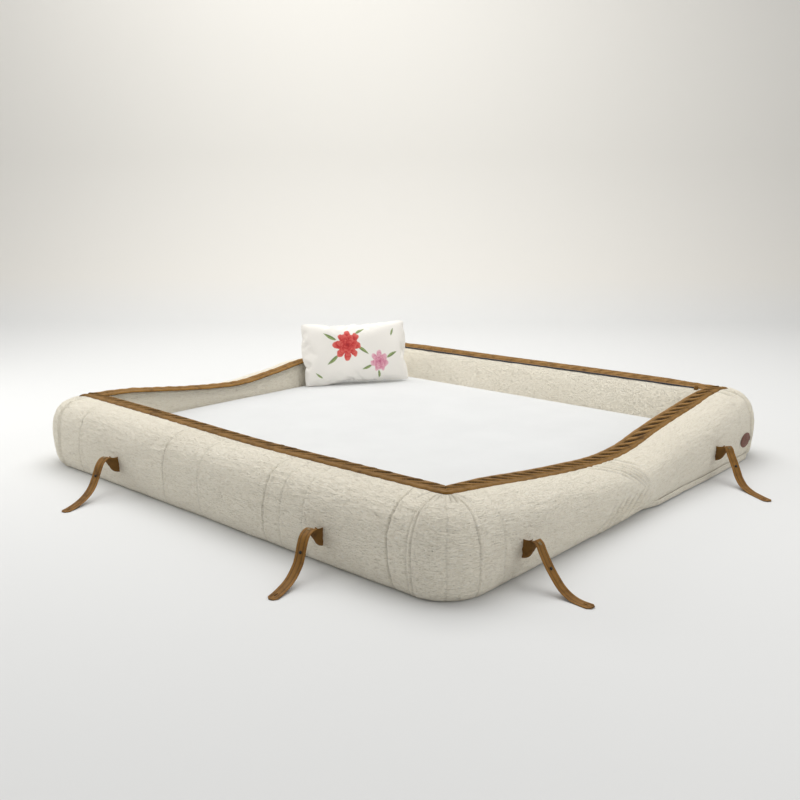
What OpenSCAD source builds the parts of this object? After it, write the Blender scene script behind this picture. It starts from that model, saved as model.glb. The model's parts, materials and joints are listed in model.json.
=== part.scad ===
// Folding sofa-bed with a padded border, shown open as a bed.
// The long sides run along X. The fold line is the X axis, and the two halves fold bottoms together.
// The origin is on the floor under the middle of the fold.

/* [Bed] */
// Overall length of the padded border, along the fold
bed_w = 2400; // [2000:10:2600]
// Overall depth of the padded border when open
bed_d = 2334; // [2100:10:2500]
// Height of the border along the long sides
border_h = 300; // [280:5:330]
// Height of the border at the fold
fold_h = 200; // [185:5:230]
// Height of the mattress top above the floor
mattress_top = 160; // [150:5:170]

/* [Border] */
// From the edging's centre line to the outermost face
roll_out = 183; // [165:1:200]
// From the edging's centre line in to the mattress, on the long sides
back_in = 140; // [120:1:160]
// From the edging's centre line in to the mattress, on the arms
arm_in = 26; // [20:1:40]
// How far a vertical seam draws the padding in
seam_draw = 6; // [2:1:10]

/* [Leather edging] */
// Width of the plaited edging
braid_w = 70; // [50:1:80]
// Thickness of the plaited edging
braid_t = 12; // [8:1:16]
// Length of one link of the plait
link_pitch = 65; // [50:1:80]

/* [Frame] */
// Side of the square steel tube
tube = 30; // [26:1:32]
// Wall of the steel tube
tube_wall = 1.5; // [1:0.1:3]
// Thickness of the plywood edge boards
board_t = 12; // [9:1:14]
// Width of a slat
slat_w = 68; // [50:1:80]
// Thickness of a slat
slat_t = 8; // [6:0.5:9]
// How far a slat bends upwards between its ends
slat_camber = 9.7; // [6:0.1:12]
// Number of slats in each half
slat_count = 12; // [8:1:14]

/* [Hinges] */
// Outer radius of the hinge knuckles
knuckle_r = 5; // [4:0.1:6]
// Radius of the hinge pins
pin_r = 2.5; // [2:0.1:3]
// Thickness of the hinge leaves
leaf_t = 3; // [2:0.1:3.5]
// Length of one hinge
hinge_len = 120; // [80:1:160]

/* [Straps] */
// Width of a leather strap
strap_w = 40; // [30:1:50]
// Thickness of the leather
strap_t = 3; // [2:0.1:4]
// Length along the floor from a strap's loop to its tip
strap_reach = 220; // [200:1:260]
// Height of a strap's loop
strap_top = 150; // [135:1:160]
// How far a strap's loop stands out from the border
strap_loop = 45; // [38:1:55]

/* [Pillow] */
// Width of the pillow
pillow_w = 605; // [500:5:620]
// Height of the pillow
pillow_h = 344; // [300:2:380]
// Thickness of the pillow
pillow_t = 118; // [90:2:130]
// How far the pillow leans back, in degrees
pillow_lean = 15; // [10:1:20]

/* [Hidden] */

$fn = 32;

// Clearance between neighbouring pieces, and the overrun of every cut
clear = 0.3;
over = 1;

// Centre line of the edging, which is the border's sharp plan corner
cx = bed_w / 2 - roll_out;
cy = bed_d / 2 - roll_out;
// Edges of the mattress well
well_x = cx - arm_in;
well_y = cy - back_in;

// The hinge axis lies one knuckle radius above the floor. Each half's underside rises towards it
// from the floor strip at the outer edge, so that the undersides meet when the bed is folded.
hinge_z = knuckle_r;
rise = hinge_z + clear;
foot_in = 45;
foot_strip = 40;
foot_out = roll_out - foot_in;
foot_y = cy + foot_out - foot_strip;
function floor_z(y) = max(0, rise * (1 - abs(y) / foot_y));

// Height of the border along the arms, which dips to the fold and is level round the corners
function arm_h(y) = fold_h + (border_h - fold_h) * (1 - cos(180 * min(1, abs(y) / arm_start))) / 2;

// Base frame, and the rebate and slot in the padding that take it and its boards
frame_z = hinge_z + knuckle_r;
frame_top = frame_z + tube;
rebate_gap = 3;
rebate_z = frame_top + rebate_gap;

// Slat holders stand on the rails, and the long sides' rebate clears them
holder_wall = 4;
holder_floor = 4;
holder_inset = 1;
holder_slack = 1.9;
holder_roof = 3;
holder_h = holder_floor + slat_t + holder_slack + holder_roof;
long_rebate_z = frame_top + holder_h + rebate_gap;
slat_z = frame_top + holder_floor;
mattress_bottom = slat_z + slat_t + slat_camber + clear;
mattress_t = mattress_top - mattress_bottom;

// Boards in the padding, from the edging's centre line
back_board_in = 77;
arm_board_out = 34;
board_top_share = 0.6;
rail_y = cy - back_board_in - board_t - clear;
rail_x = cx + arm_board_out - board_t - clear;
fold_gap = 1;
rail_fold_gap = 4;

// Section of the padding: shares of its height, the powers of its curves and their steps
waist_share = 0.44;
upper_power = 2.9;
lower_power = 2.3;
upper_steps = 7;
lower_steps = 5;
inner_wall_shares = [[1, 0], [0.92, 0.18], [0.72, 0.52], [0.45, 0.85], [0.22, 0.985]];

function power_cos(a, n) = pow(max(0, cos(a)), 2 / n);
function power_sin(a, n) = pow(max(0, sin(a)), 2 / n);

// Outer profile [out, up] from the edging's centre line over the roll and down to the floor strip.
// h is the height, z0 the floor's height and draw how far a seam pulls the padding in.
function outer_profile(h, z0, draw) =
    let (waist = z0 + (h - z0) * waist_share, reach = roll_out - draw)
    concat(
        [for (i = [0 : upper_steps])
            let (a = 90 - 90 * i / upper_steps)
            [reach * power_cos(a, upper_power), waist + (h - waist) * power_sin(a, upper_power)]],
        [for (i = [1 : lower_steps])
            let (a = 90 * i / lower_steps)
            [foot_out + (reach - foot_out) * power_cos(a, lower_power),
             waist - (waist - z0) * power_sin(a, lower_power)]]
    );

// Inner wall from the mattress up to the edging
function inner_wall(h, inset) = [
    for (s = inner_wall_shares) [-inset * s[0], mattress_top + (h - mattress_top) * s[1]]
];

// Section of a long side, with the slot for its board and the rebate for the frame
long_slot_top = border_h * board_top_share + clear;
function long_section(draw) = concat(
    outer_profile(border_h, 0, draw),
    [[foot_y - cy, 0],
     [0, floor_z(cy)],
     [-back_board_in + clear, floor_z(cy - back_board_in)],
     [-back_board_in + clear, long_slot_top],
     [-back_board_in - board_t - clear, long_slot_top],
     [-back_board_in - board_t - clear, long_rebate_z],
     [-back_in, long_rebate_z]],
    inner_wall(border_h, back_in)
);

// Section of an arm at the height h
function arm_section(h, z0) = concat(
    outer_profile(h, z0, 0),
    [[arm_board_out + clear, z0],
     [arm_board_out + clear, h * board_top_share + clear],
     [arm_board_out - board_t - clear, h * board_top_share + clear],
     [arm_board_out - board_t - clear, rebate_z],
     [0, rebate_z],
     [-arm_in, rebate_z]],
    inner_wall(h, arm_in)
);
outer_count = upper_steps + lower_steps + 1;

// Closed solid through rings of equal length. first and last list the faces of its two ends.
module loft(rings, first, last) {
    n = len(rings[0]);
    m = len(rings);
    points = [for (ring = rings) for (p = ring) p];
    sides = [for (i = [0 : m - 2]) for (j = [0 : n - 1])
        let (a = i * n + j, b = i * n + (j + 1) % n)
        each [[a, b, b + n], [a, b + n, a + n]]];
    starts = [for (face = first) [for (j = [len(face) - 1 : -1 : 0]) face[j]]];
    ends = [for (face = last) [for (j = face) (m - 1) * n + j]];
    polyhedron(points, concat(sides, starts, ends), convexity = 6);
}
function count_to(n) = [for (j = [0 : n - 1]) j];

// A roll turns 45 degrees round the corner in fan_steps and stops at the mitre. Points inside the
// edging's line run straight on to the inner mitre meanwhile. The arms stop mitre_fit short of it.
mitre_fit = 0.1;
fan_steps = 5;
turn_steps = fan_steps + 1;
function fan_turn(k) = 45 * (k - 1) / fan_steps;

// Section `sec` of a long roll, k steps into its corner, where `start` is the last straight place
function long_corner(sec, k, start) = [
    for (p = sec)
        p[0] > 0
            ? [cx + p[0] * sin(fan_turn(k)), cy + p[0] * cos(fan_turn(k)), p[1]]
            : [start + (cx + p[0] * arm_in / back_in - start) * k / turn_steps, cy + p[0], p[1]]
];
function mirror_ring(ring) = [for (p = ring) [-p[0], p[1], p[2]]];

// Vertical seams along a long roll, as shares of the edging's half length
seam_shares = [-0.84, -0.24, 0.35, 0.92];
seam_half = 24;
corner_start_share = 1.3;
long_start = cx - arm_in * corner_start_share;

// The mitred end of a long roll is two flat faces that meet under the edging's corner
function long_mitre() =
    let (n = len(long_section(0)), under = outer_count + 1)
    [[for (j = [0 : under]) j], concat([0], [for (j = [under : n - 1]) j])];

// Long roll of the far half
module long_roll() {
    plain = long_section(0);
    drawn = long_section(seam_draw);
    corner = [for (k = [turn_steps : -1 : 1]) long_corner(plain, k, long_start)];
    places = concat(
        [[-long_start, false]],
        [for (s = seam_shares)
            each [[cx * s - seam_half, false], [cx * s, true], [cx * s + seam_half, false]]],
        [[long_start, false]]);
    straight = [for (q = places) [for (p = (q[1] ? drawn : plain)) [q[0], cy + p[0], p[1]]]];
    rings = concat(
        [for (ring = corner) mirror_ring(ring)],
        straight,
        [for (k = [turn_steps - 1 : -1 : 0]) corner[k]]);
    loft(rings, long_mitre(), long_mitre());
}

// Places of the sections along an arm, from the fold to where its corner starts
arm_stations = 8;
arm_corner_share = 1.2;
arm_start = cy - back_in * arm_corner_share;
arm_places = [for (i = [0 : arm_stations - 1])
    fold_gap + (arm_start - fold_gap) * i / (arm_stations - 1)];

// Section of an arm, k steps into its corner
arm_end = cy - mitre_fit;
function corner_y(k) = arm_start + (arm_end - arm_start) * k / turn_steps;
function arm_corner(k) = [
    for (p = arm_section(arm_h(corner_y(k)), floor_z(cy)))
        p[0] > 0
            ? [cx + p[0] * cos(fan_turn(k)), arm_end + p[0] * sin(fan_turn(k)), p[1]]
            : [cx + p[0],
               arm_start + (arm_end + p[0] * back_in / arm_in - arm_start) * k / turn_steps,
               p[1]]
];

// Arm roll of the far half, on the right
module arm_roll() {
    n = len(arm_section(border_h, 0));
    under = outer_count + 4;
    mitre = [[for (j = [0 : under]) j], concat([0], [for (j = [under : n - 1]) j])];
    straight = [for (y = arm_places) [for (p = arm_section(arm_h(y), floor_z(y))) [cx + p[0], y, p[1]]]];
    corner = [for (k = [turn_steps : -1 : 1]) arm_corner(k)];
    rings = concat(corner, [for (i = [arm_stations - 1 : -1 : 0]) straight[i]]);
    loft(rings, mitre, [count_to(n)]);
}

module cover() color("ivory") children();
module steel() color("dimgray") children();
module wood() color("burlywood") children();
module leather() color("saddlebrown") children();
module near_side() mirror([0, 1, 0]) children();
module left_side() mirror([1, 0, 0]) children();
module both_sides() {
    children();
    left_side() children();
}

// Square tube along X, from the origin
module square_tube(length)
    difference() {
        cube([length, tube, tube]);
        translate([-over, tube_wall, tube_wall])
            cube([length + 2 * over, tube - 2 * tube_wall, tube - 2 * tube_wall]);
    }

// Bolts that hold the edge boards to the rails, with countersunk heads flush with the boards
bolt_r = 3;
bolt_head_r = 6;
bolt_head_h = 3;
bolt_grip = 12;
bolt_z = frame_z + tube / 2;
bolt_len = board_t + clear + bolt_grip;
long_bolt_shares = [-0.85, -0.5, -0.17, 0.17, 0.5, 0.85];
arm_bolt_shares = [0.12, 0.5, 0.88];

// A bolt along -Y with its head's face at y = 0; grow is the clearance round it
module bolt(grow)
    rotate([90, 0, 0]) {
        cylinder(r = bolt_r + grow, h = bolt_len);
        cylinder(r1 = bolt_head_r + grow, r2 = bolt_r + grow, h = bolt_head_h + grow);
    }
bolt_fit = 0.05;
module long_bolts(grow)
    for (s = long_bolt_shares)
        translate([well_x * s, rail_y + clear + board_t, bolt_z]) bolt(grow);
module arm_bolts(grow)
    for (s = arm_bolt_shares)
        translate([rail_x + clear + board_t, rail_y * s, bolt_z]) rotate([0, 0, -90]) bolt(grow);

module long_rail() steel()
    difference() {
        translate([-rail_x, rail_y - tube, frame_z]) square_tube(2 * rail_x);
        long_bolts(bolt_fit);
    }
module fold_rail() steel() translate([-rail_x, rail_fold_gap, frame_z]) square_tube(2 * rail_x);
module side_rails() steel() both_sides()
    difference() {
        translate([rail_x, rail_fold_gap + tube, frame_z]) rotate([0, 0, 90])
            square_tube(rail_y - rail_fold_gap - 2 * tube);
        arm_bolts(bolt_fit);
    }

// Slats, bent upwards, from the fold rail to the long rail
slat_end_y = rail_fold_gap + holder_inset + holder_wall + clear;
slat_far_y = rail_y - holder_inset - holder_wall - clear;
slat_steps = 16;
slat_margin = 45;
slat_pitch = 2 * (rail_x - slat_margin) / slat_count;
function slat_x(i) = slat_pitch * (i - (slat_count - 1) / 2);
function slat_rise(t) = slat_z + slat_camber * (1 - pow(2 * t - 1, 2));
function slat_curve(lift) = [for (i = [0 : slat_steps])
    [slat_end_y + (slat_far_y - slat_end_y) * i / slat_steps, slat_rise(i / slat_steps) + lift]];

module slats() wood()
    for (i = [0 : slat_count - 1])
        translate([slat_x(i) - slat_w / 2, 0, 0]) rotate([90, 0, 90]) linear_extrude(slat_w)
            polygon(concat(slat_curve(0),
                [for (j = [slat_steps : -1 : 0]) slat_curve(slat_t)[j]]));

// Plastic holder for a slat's end on the fold rail, open towards +Y
module slat_holder()
    translate([-slat_w / 2 - holder_wall, holder_inset, 0])
        difference() {
            cube([slat_w + 2 * holder_wall, tube - 2 * holder_inset, holder_h]);
            translate([holder_wall - clear, holder_wall, holder_floor])
                cube([slat_w + 2 * clear, tube, slat_t + holder_slack]);
        }
module slat_holders() color("black")
    for (i = [0 : slat_count - 1]) {
        translate([slat_x(i), rail_fold_gap, frame_top]) slat_holder();
        translate([slat_x(i), rail_y, frame_top]) mirror([0, 1, 0]) slat_holder();
    }

// Dust cloth under the frame, clear of the hinge leaves
cloth_t = 1.2;
cloth_margin = 3;
leaf_reach = 22;
module base_cloth() color("gray")
    translate([-rail_x + cloth_margin, leaf_reach + 2 * clear, frame_z - cloth_t])
        cube([2 * (rail_x - cloth_margin), rail_y - cloth_margin - leaf_reach - 2 * clear, cloth_t]);

// Edge boards of plywood that stiffen the padding
arm_board_drop = 1.5;
arm_board_start = 8;
module long_board() wood()
    difference() {
        translate([-well_x, rail_y + clear, frame_z])
            cube([2 * well_x, board_t, border_h * board_top_share - frame_z]);
        long_bolts(bolt_fit);
    }
function arm_board_top(y) = [y, arm_h(y) * board_top_share - arm_board_drop];
module arm_boards() wood() both_sides()
    difference() {
        translate([rail_x + clear, 0, 0]) rotate([90, 0, 90]) linear_extrude(board_t)
            polygon(concat(
                [[arm_board_start, frame_z], [rail_y, frame_z], [rail_y, arm_board_top(arm_start)[1]]],
                [for (i = [arm_stations - 1 : -1 : 1]) arm_board_top(arm_places[i])],
                [[arm_board_start, arm_board_top(0)[1]]]));
        arm_bolts(bolt_fit);
    }
module board_bolts() steel() {
    long_bolts(0);
    both_sides() arm_bolts(0);
}

// Rounded rectangle ring for the mattress, inset from its outline
mattress_corner = 30;
corner_steps = 4;
function corner_points(x, y, r, from) = [
    for (i = [0 : corner_steps]) let (a = from + 90 * i / corner_steps) [x + r * cos(a), y + r * sin(a)]
];
function mattress_ring(inset, z) =
    let (r = mattress_corner - inset / 4,
         x = well_x - clear - inset - r,
         y0 = fold_gap + inset + r,
         y1 = well_y - clear - inset - r)
    [for (p = concat(corner_points(x, y0, r, -90), corner_points(x, y1, r, 0),
                     corner_points(-x, y1, r, 90), corner_points(-x, y0, r, 180))) [p[0], p[1], z]];
// Insets of the mattress's rings, and how far below its top they lie, as shares of its thickness
mattress_shares = [[0.1, 1], [0, 0.9], [0, 0.14], [0.06, 0.04], [0.24, 0.008], [0.8, 0]];
module mattress() color("white") {
    rings = [for (q = mattress_shares) mattress_ring(mattress_t * q[0], mattress_top - mattress_t * q[1])];
    n = len(rings[0]);
    loft([for (i = [len(rings) - 1 : -1 : 0]) rings[i]], [count_to(n)], [count_to(n)]);
}

// Plaited edging: one strip of slanted links along the top of the roll, mitred at the corners. Each
// link rises from under the link before it: [place along the link, width, height], all in shares.
link_shares = [[0, 0.86, 0.5], [0.13, 1, 1], [0.6, 0.98, 0.84]];
link_slant = 0.55;
link_ends = 10;
braid_shares = [[0.5, 0], [0.5, 0.45], [0.34, 0.9], [0, 1], [-0.34, 0.9], [-0.5, 0.45], [-0.5, 0]];
long_links = round(2 * cx / link_pitch);
arm_links = round(cy / link_pitch);

// Sections of the plait along a strip of `count` links: [share of its length, width, height]
function plait(count) = concat(
    [for (i = [0 : count - 1]) for (q = link_shares) [(i + q[0]) / count, q[1], q[2]]],
    [[1, link_shares[0][1], link_shares[0][2]]]);
// How far a point `out` from the edging's line is shifted along it. The slant fades at both ends.
function slanted(out, share) = link_slant * out * min(1, link_ends * share, link_ends * (1 - share));

function long_link(q) = [
    for (p = braid_shares)
        let (out = braid_w * q[1] * p[0])
        [(cx + out) * (2 * q[0] - 1) + slanted(out, q[0]), cy + out,
         border_h + clear + braid_t * q[2] * p[1]]
];
module long_braid() leather()
    loft([for (q = plait(long_links)) long_link(q)], [count_to(len(braid_shares))],
        [count_to(len(braid_shares))]);

// The arms' edging follows the straight runs between their sections. Its links are straight too, so
// they clear the ridges between those runs.
arm_braid_fit = 1.5;
arm_line = concat([for (y = arm_places) [y, arm_h(y)]],
    [for (k = [1 : turn_steps]) [corner_y(k), arm_h(corner_y(k))]]);
function arm_link(q) = [
    for (p = braid_shares)
        let (out = braid_w * q[1] * p[0],
             y = fold_gap + (arm_end + out - fold_gap) * q[0] + slanted(out, q[0]))
        [cx + out, y, lookup(y, arm_line) + arm_braid_fit + braid_t * q[2] * p[1]]
];
module arm_braid() leather() {
    links = plait(arm_links);
    loft([for (i = [len(links) - 1 : -1 : 0]) arm_link(links[i])], [count_to(len(braid_shares))],
        [count_to(len(braid_shares))]);
}

// Leaf hinges on the fold rails
knuckles = 5;
knuckle_len = hinge_len / knuckles;
pin_fit = 0.05;
leaf_clear = 0.5;
hinge_shares = [-0.8, -0.27, 0.27, 0.8];
module hinge_leaf(first)
    difference() {
        union() {
            translate([-hinge_len / 2, knuckle_r + leaf_clear, frame_z - leaf_t])
                cube([hinge_len, leaf_reach - knuckle_r - leaf_clear, leaf_t]);
            for (k = [first : 2 : knuckles - 1])
                translate([-hinge_len / 2 + knuckle_len * k + clear, 0, 0]) {
                    translate([0, 0, hinge_z]) rotate([0, 90, 0])
                        cylinder(r = knuckle_r, h = knuckle_len - 2 * clear);
                    translate([0, 0, frame_z - leaf_t])
                        cube([knuckle_len - 2 * clear, leaf_reach / 2, leaf_t]);
                }
        }
        translate([-hinge_len / 2 - over, 0, hinge_z]) rotate([0, 90, 0])
            cylinder(r = pin_r + pin_fit, h = hinge_len + 2 * over);
    }
module hinge_leaves(first) steel()
    for (s = hinge_shares) translate([rail_x * s, 0, 0]) hinge_leaf(first);
module pins() color("silver")
    for (s = hinge_shares)
        translate([rail_x * s - hinge_len / 2, 0, hinge_z]) rotate([0, 90, 0])
            cylinder(r = pin_r, h = hinge_len);

// How far out the roll's face is at a height below its waist
function face_out(h, z0, z) =
    lookup(z, [for (i = [upper_steps : outer_count - 1])
        let (q = outer_profile(h, z0, 0)[i]) [q[1], q[0]]]);

// Cloth hem along the foot of the far half's right arm
hem_h = 28;
hem_t = 3;
hem_flare = 5;
hem_start = 40;
hem_places = concat([hem_start], [for (i = [1 : arm_stations - 1]) arm_places[i]], [cy]);
function hem_ring(y) =
    let (z0 = floor_z(y), s = cx + face_out(arm_h(y), z0, hem_h) + clear)
    [[s, y, z0], [s + hem_flare, y, z0], [s + hem_t, y, hem_h], [s, y, hem_h]];
module hem() cover()
    loft([for (i = [len(hem_places) - 1 : -1 : 0]) hem_ring(hem_places[i])],
        [count_to(4)], [count_to(4)]);

// Bare oval leather patch on the far half's right arm
oval_from_corner = 56;
oval_y = cy - oval_from_corner;
oval_z = 104;
oval_half = [55, 33];
oval_t = 2;
oval_seat = 15;
oval_sides = 32;
function oval_face(z) = face_out(border_h, 0, z);
oval_tilt = atan2(oval_face(oval_z + oval_seat) - oval_face(oval_z - oval_seat), 2 * oval_seat);
module oval() color("sienna")
    translate([cx + oval_face(oval_z) + clear, oval_y, oval_z])
        rotate([0, oval_tilt, 0]) rotate([90, 0, 90]) linear_extrude(oval_t)
            polygon([for (i = [0 : oval_sides - 1])
                let (a = 360 * i / oval_sides) [oval_half[0] * cos(a), oval_half[1] * sin(a)]]);

// Straps. Each has a root that is sewn into the roll's face, and a tail that hinges at the loop.
// The tail's curve is two Bezier arcs and a run along the floor, in shares of its reach and drop.
arc_1_shares = [[0, 0], [0.1, 0.015], [0.2, 0.25], [0.32, 0.52]];
arc_2_shares = [[0.32, 0.52], [0.43, 0.77], [0.56, 1], [0.74, 1]];
arc_steps = 7;
strap_drop = strap_top - strap_t / 2;
loop_r = strap_t * 0.7;
function bezier(q, t) =
    pow(1 - t, 3) * q[0] + 3 * t * pow(1 - t, 2) * q[1] + 3 * t * t * (1 - t) * q[2] + pow(t, 3) * q[3];
function strap_point(p) = [strap_reach * p[0], -strap_drop * p[1]];
function strap_arc(q, t) = strap_point(bezier(q, t));
tail_path = concat(
    [for (i = [0 : arc_steps]) strap_arc(arc_1_shares, i / arc_steps)],
    [for (i = [1 : arc_steps]) strap_arc(arc_2_shares, i / arc_steps)],
    [[strap_reach, -strap_drop]]);

// Both edges of a strip of leather along a path
function heading(path, i) =
    let (d = path[min(len(path) - 1, i + 1)] - path[max(0, i - 1)]) d / norm(d);
function strip_side(path, side) = [
    for (i = [0 : len(path) - 1])
        let (d = heading(path, i)) path[i] + side * strap_t / 2 * [-d[1], d[0]]
];
function strip(path) = concat(strip_side(path, 1),
    [for (i = [len(path) - 1 : -1 : 0]) strip_side(path, -1)[i]]);
module strap_strip(path)
    translate([0, strap_w / 2, 0]) rotate([90, 0, 0]) linear_extrude(strap_w) polygon(strip(path));

// Studs stand on straight facets of the tail: the second of its first arc, the first of its second
stud_facets = [1, arc_steps];
function stud_place(i) = (tail_path[i] + tail_path[i + 1]) / 2;
function stud_turn(i) = let (d = tail_path[i + 1] - tail_path[i]) -atan2(d[1], d[0]);
stud_hole_r = 2.1;
stud_shank_r = 2;
stud_fit = 0.3;
stud_base_share = 2.6;
stud_top_share = 2;
stud_back_share = 2.2;
stud_head_share = 0.6;
slot_in = 34;
slot_len = 14;
slot_r = 2.5;
tip_cut = 13;

module at_studs()
    for (i = stud_facets)
        translate([stud_place(i)[0], 0, stud_place(i)[1]]) rotate([0, stud_turn(i), 0]) children();
module stud()
    union() {
        translate([0, 0, -3 * strap_t / 4 - stud_fit])
            cylinder(r = stud_shank_r, h = 3 * strap_t / 2 + stud_fit);
        translate([0, 0, strap_t / 2 + stud_fit])
            cylinder(r1 = stud_hole_r * stud_base_share, r2 = stud_hole_r * stud_top_share,
                     h = strap_t * stud_head_share);
        translate([0, 0, -strap_t - stud_fit]) cylinder(r = stud_hole_r * stud_back_share, h = strap_t / 2);
    }
module stud_hole() translate([0, 0, -2 * strap_t]) cylinder(r = stud_hole_r, h = 4 * strap_t);

// Tail of a strap in its own frame: the hinge at the origin, the tip towards +X
module tail() leather()
    difference() {
        union() {
            strap_strip(tail_path);
            rotate([90, 0, 0]) cylinder(r = loop_r, h = strap_w, center = true);
        }
        at_studs() stud_hole();
        translate([strap_reach - slot_in, 0, -strap_drop - strap_t])
            linear_extrude(2 * strap_t) {
                translate([0, -slot_r]) square([slot_len, 2 * slot_r]);
                circle(slot_r);
                translate([slot_len, 0]) circle(slot_r);
            }
        for (e = [-1, 1])
            translate([strap_reach, e * strap_w / 2, -strap_drop - strap_t])
                rotate([0, 0, 45]) cube([tip_cut * sqrt(2), tip_cut * sqrt(2), 4 * strap_t], center = true);
    }
module studs() color("darkgoldenrod") at_studs() stud();

// Root of a strap in its own frame: the roll's outermost face at x = 0, the floor at z = 0. The
// leather leaves the face upright, twists flat and meets the tail at the loop's top.
root_w = 50;
root_upright = 80;
root_low_share = 0.68;
root_handle_shares = [0.3, 0.45];
root_steps = 12;
root_shares = [-1, -0.36, 0.36, 1];
function root_arc(s) =
    let (ahead = [cos(s[2]), sin(s[2]), 0],
         start = [clear, 0, strap_top * root_low_share],
         end = [strap_loop, 0, strap_top] - (loop_r + clear) * ahead)
    [start, start + [strap_loop * root_handle_shares[0], 0, 0],
     end - strap_loop * root_handle_shares[1] * ahead, end];
function bezier_slope(q, t) =
    let (d = pow(1 - t, 2) * (q[1] - q[0]) + 2 * t * (1 - t) * (q[2] - q[1]) + t * t * (q[3] - q[2]))
    d / norm(d);
function root_ring(s, t) =
    let (arc = root_arc(s),
         ahead = bezier_slope(arc, t),
         level = cross([0, 0, 1], ahead) / norm(cross([0, 0, 1], ahead)),
         turn = s[3] * root_upright * (1 - t),
         wide = level * cos(turn) + [0, 0, sin(turn)],
         across = cross(ahead, wide),
         thick = across / norm(across) * strap_t / 2,
         half = (root_w + (strap_w - root_w) * t) / 2)
    concat([for (e = root_shares) bezier(arc, t) + e * half * wide + thick],
        [for (e = root_shares) bezier(arc, t) - e * half * wide - thick]);
module root(s) leather()
    loft([for (k = [0 : root_steps]) root_ring(s, k / root_steps)],
        [count_to(2 * len(root_shares))], [count_to(2 * len(root_shares))]);

// Straps: the side they point to in degrees, their place along that side, their tail's yaw, and
// which way the root twists
long_strap_shares = [-0.536, 0.649];
arm_strap_shares = [-0.838, 0.616];
strap_front_left_at = [-90, cx * long_strap_shares[0], 19, 1];
strap_front_right_at = [-90, cx * long_strap_shares[1], 14, 1];
strap_right_near_at = [0, cy * arm_strap_shares[0], -5, -1];
strap_right_far_at = [0, cy * arm_strap_shares[1], -32, -1];
strap_left_near_at = [180, cy * arm_strap_shares[0], 10, 1];
strap_left_far_at = [180, cy * arm_strap_shares[1], 20, 1];
strap_back_left_at = [90, cx * long_strap_shares[0], 12, -1];
strap_back_right_at = [90, cx * long_strap_shares[1], -6, -1];

// Frame of a strap's root: +X points out of the border's face
module at_face(s)
    translate(abs(s[0]) == 90
            ? [s[1], sign(s[0]) * bed_d / 2, 0]
            : [(s[0] == 0 ? 1 : -1) * bed_w / 2, s[1], 0])
        rotate([0, 0, s[0]]) children();
module at_loop(s) at_face(s) translate([strap_loop, 0, strap_top]) rotate([0, 0, s[2]]) children();

// Loose pillow, which stands in the far left corner of the well and leans back
pillow_from_corner = [194, 358];
pillow_turn = 62;
pillow_points = 32;
pillow_power = 5;
pillow_draw = [0.03, 0.05];
pillow_rings = [0.1, 0.35, 0.6, 0.8, 0.93];
function pillow_outline(r, a) =
    let (u = sign(cos(a)) * power_cos(acos(abs(cos(a))), pillow_power),
         v = sign(sin(a)) * power_cos(acos(abs(sin(a))), pillow_power))
    [pillow_w / 2 * r * u * (1 - pillow_draw[0] * (1 - v * v)),
     pillow_h / 2 * r * v * (1 - pillow_draw[1] * (1 - u * u))];
pillow_bulge = 2.6;
pillow_edge = 0.62;
function pillow_depth(r) = pillow_t / 2 * pow(1 - pow(r, pillow_bulge), pillow_edge);
function pillow_ring(r, side) = [
    for (i = [0 : pillow_points - 1])
        let (p = pillow_outline(r, 360 * (i + 0.5) / pillow_points))
        [p[0], -side * pillow_depth(r), p[1]]
];
module pillow_body() color("whitesmoke")
    translate([pillow_from_corner[0] - well_x, well_y - pillow_from_corner[1], mattress_top + clear])
        rotate([0, 0, pillow_turn]) rotate([-pillow_lean, 0, 0])
            translate([0, 0, -min([for (p = pillow_ring(1, 0)) p[2]])])
                loft(concat(
                        [for (r = pillow_rings) pillow_ring(r, 1)],
                        [pillow_ring(1, 0)],
                        [for (i = [len(pillow_rings) - 1 : -1 : 0]) pillow_ring(pillow_rings[i], -1)]),
                    [count_to(pillow_points)], [count_to(pillow_points)]);

// Far half
module far_back_rail() long_rail();
module far_side_rails() side_rails();
module far_fold_rail() fold_rail();
module far_slats() slats();
module far_slat_holders() slat_holders();
module far_base_cloth() base_cloth();
module far_back_board() long_board();
module far_side_boards() arm_boards();
module far_board_bolts() board_bolts();
module far_back_bolster() cover() long_roll();
module far_left_bolster() cover() left_side() arm_roll();
module far_right_bolster() cover() arm_roll();
module far_mattress() mattress();
module far_back_braid() long_braid();
module far_left_braid() left_side() arm_braid();
module far_right_braid() arm_braid();
module far_strap_roots() {
    at_face(strap_right_far_at) root(strap_right_far_at);
    at_face(strap_left_far_at) root(strap_left_far_at);
    at_face(strap_back_left_at) root(strap_back_left_at);
    at_face(strap_back_right_at) root(strap_back_right_at);
}
module far_hem() hem();
module oval_patch() oval();
module far_hinge_leaves() hinge_leaves(0);
module hinge_pins() pins();

// Near half, the far half mirrored across the fold
module near_front_rail() near_side() long_rail();
module near_side_rails() near_side() side_rails();
module near_fold_rail() near_side() fold_rail();
module near_slats() near_side() slats();
module near_slat_holders() near_side() slat_holders();
module near_base_cloth() near_side() base_cloth();
module near_front_board() near_side() long_board();
module near_side_boards() near_side() arm_boards();
module near_board_bolts() near_side() board_bolts();
module near_front_bolster() cover() near_side() long_roll();
module near_left_bolster() cover() near_side() left_side() arm_roll();
module near_right_bolster() cover() near_side() arm_roll();
module near_mattress() near_side() mattress();
module near_front_braid() near_side() long_braid();
module near_left_braid() near_side() left_side() arm_braid();
module near_right_braid() near_side() arm_braid();
module near_strap_roots() {
    at_face(strap_front_left_at) root(strap_front_left_at);
    at_face(strap_front_right_at) root(strap_front_right_at);
    at_face(strap_right_near_at) root(strap_right_near_at);
    at_face(strap_left_near_at) root(strap_left_near_at);
}
module near_hinge_leaves() near_side() hinge_leaves(1);

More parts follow.
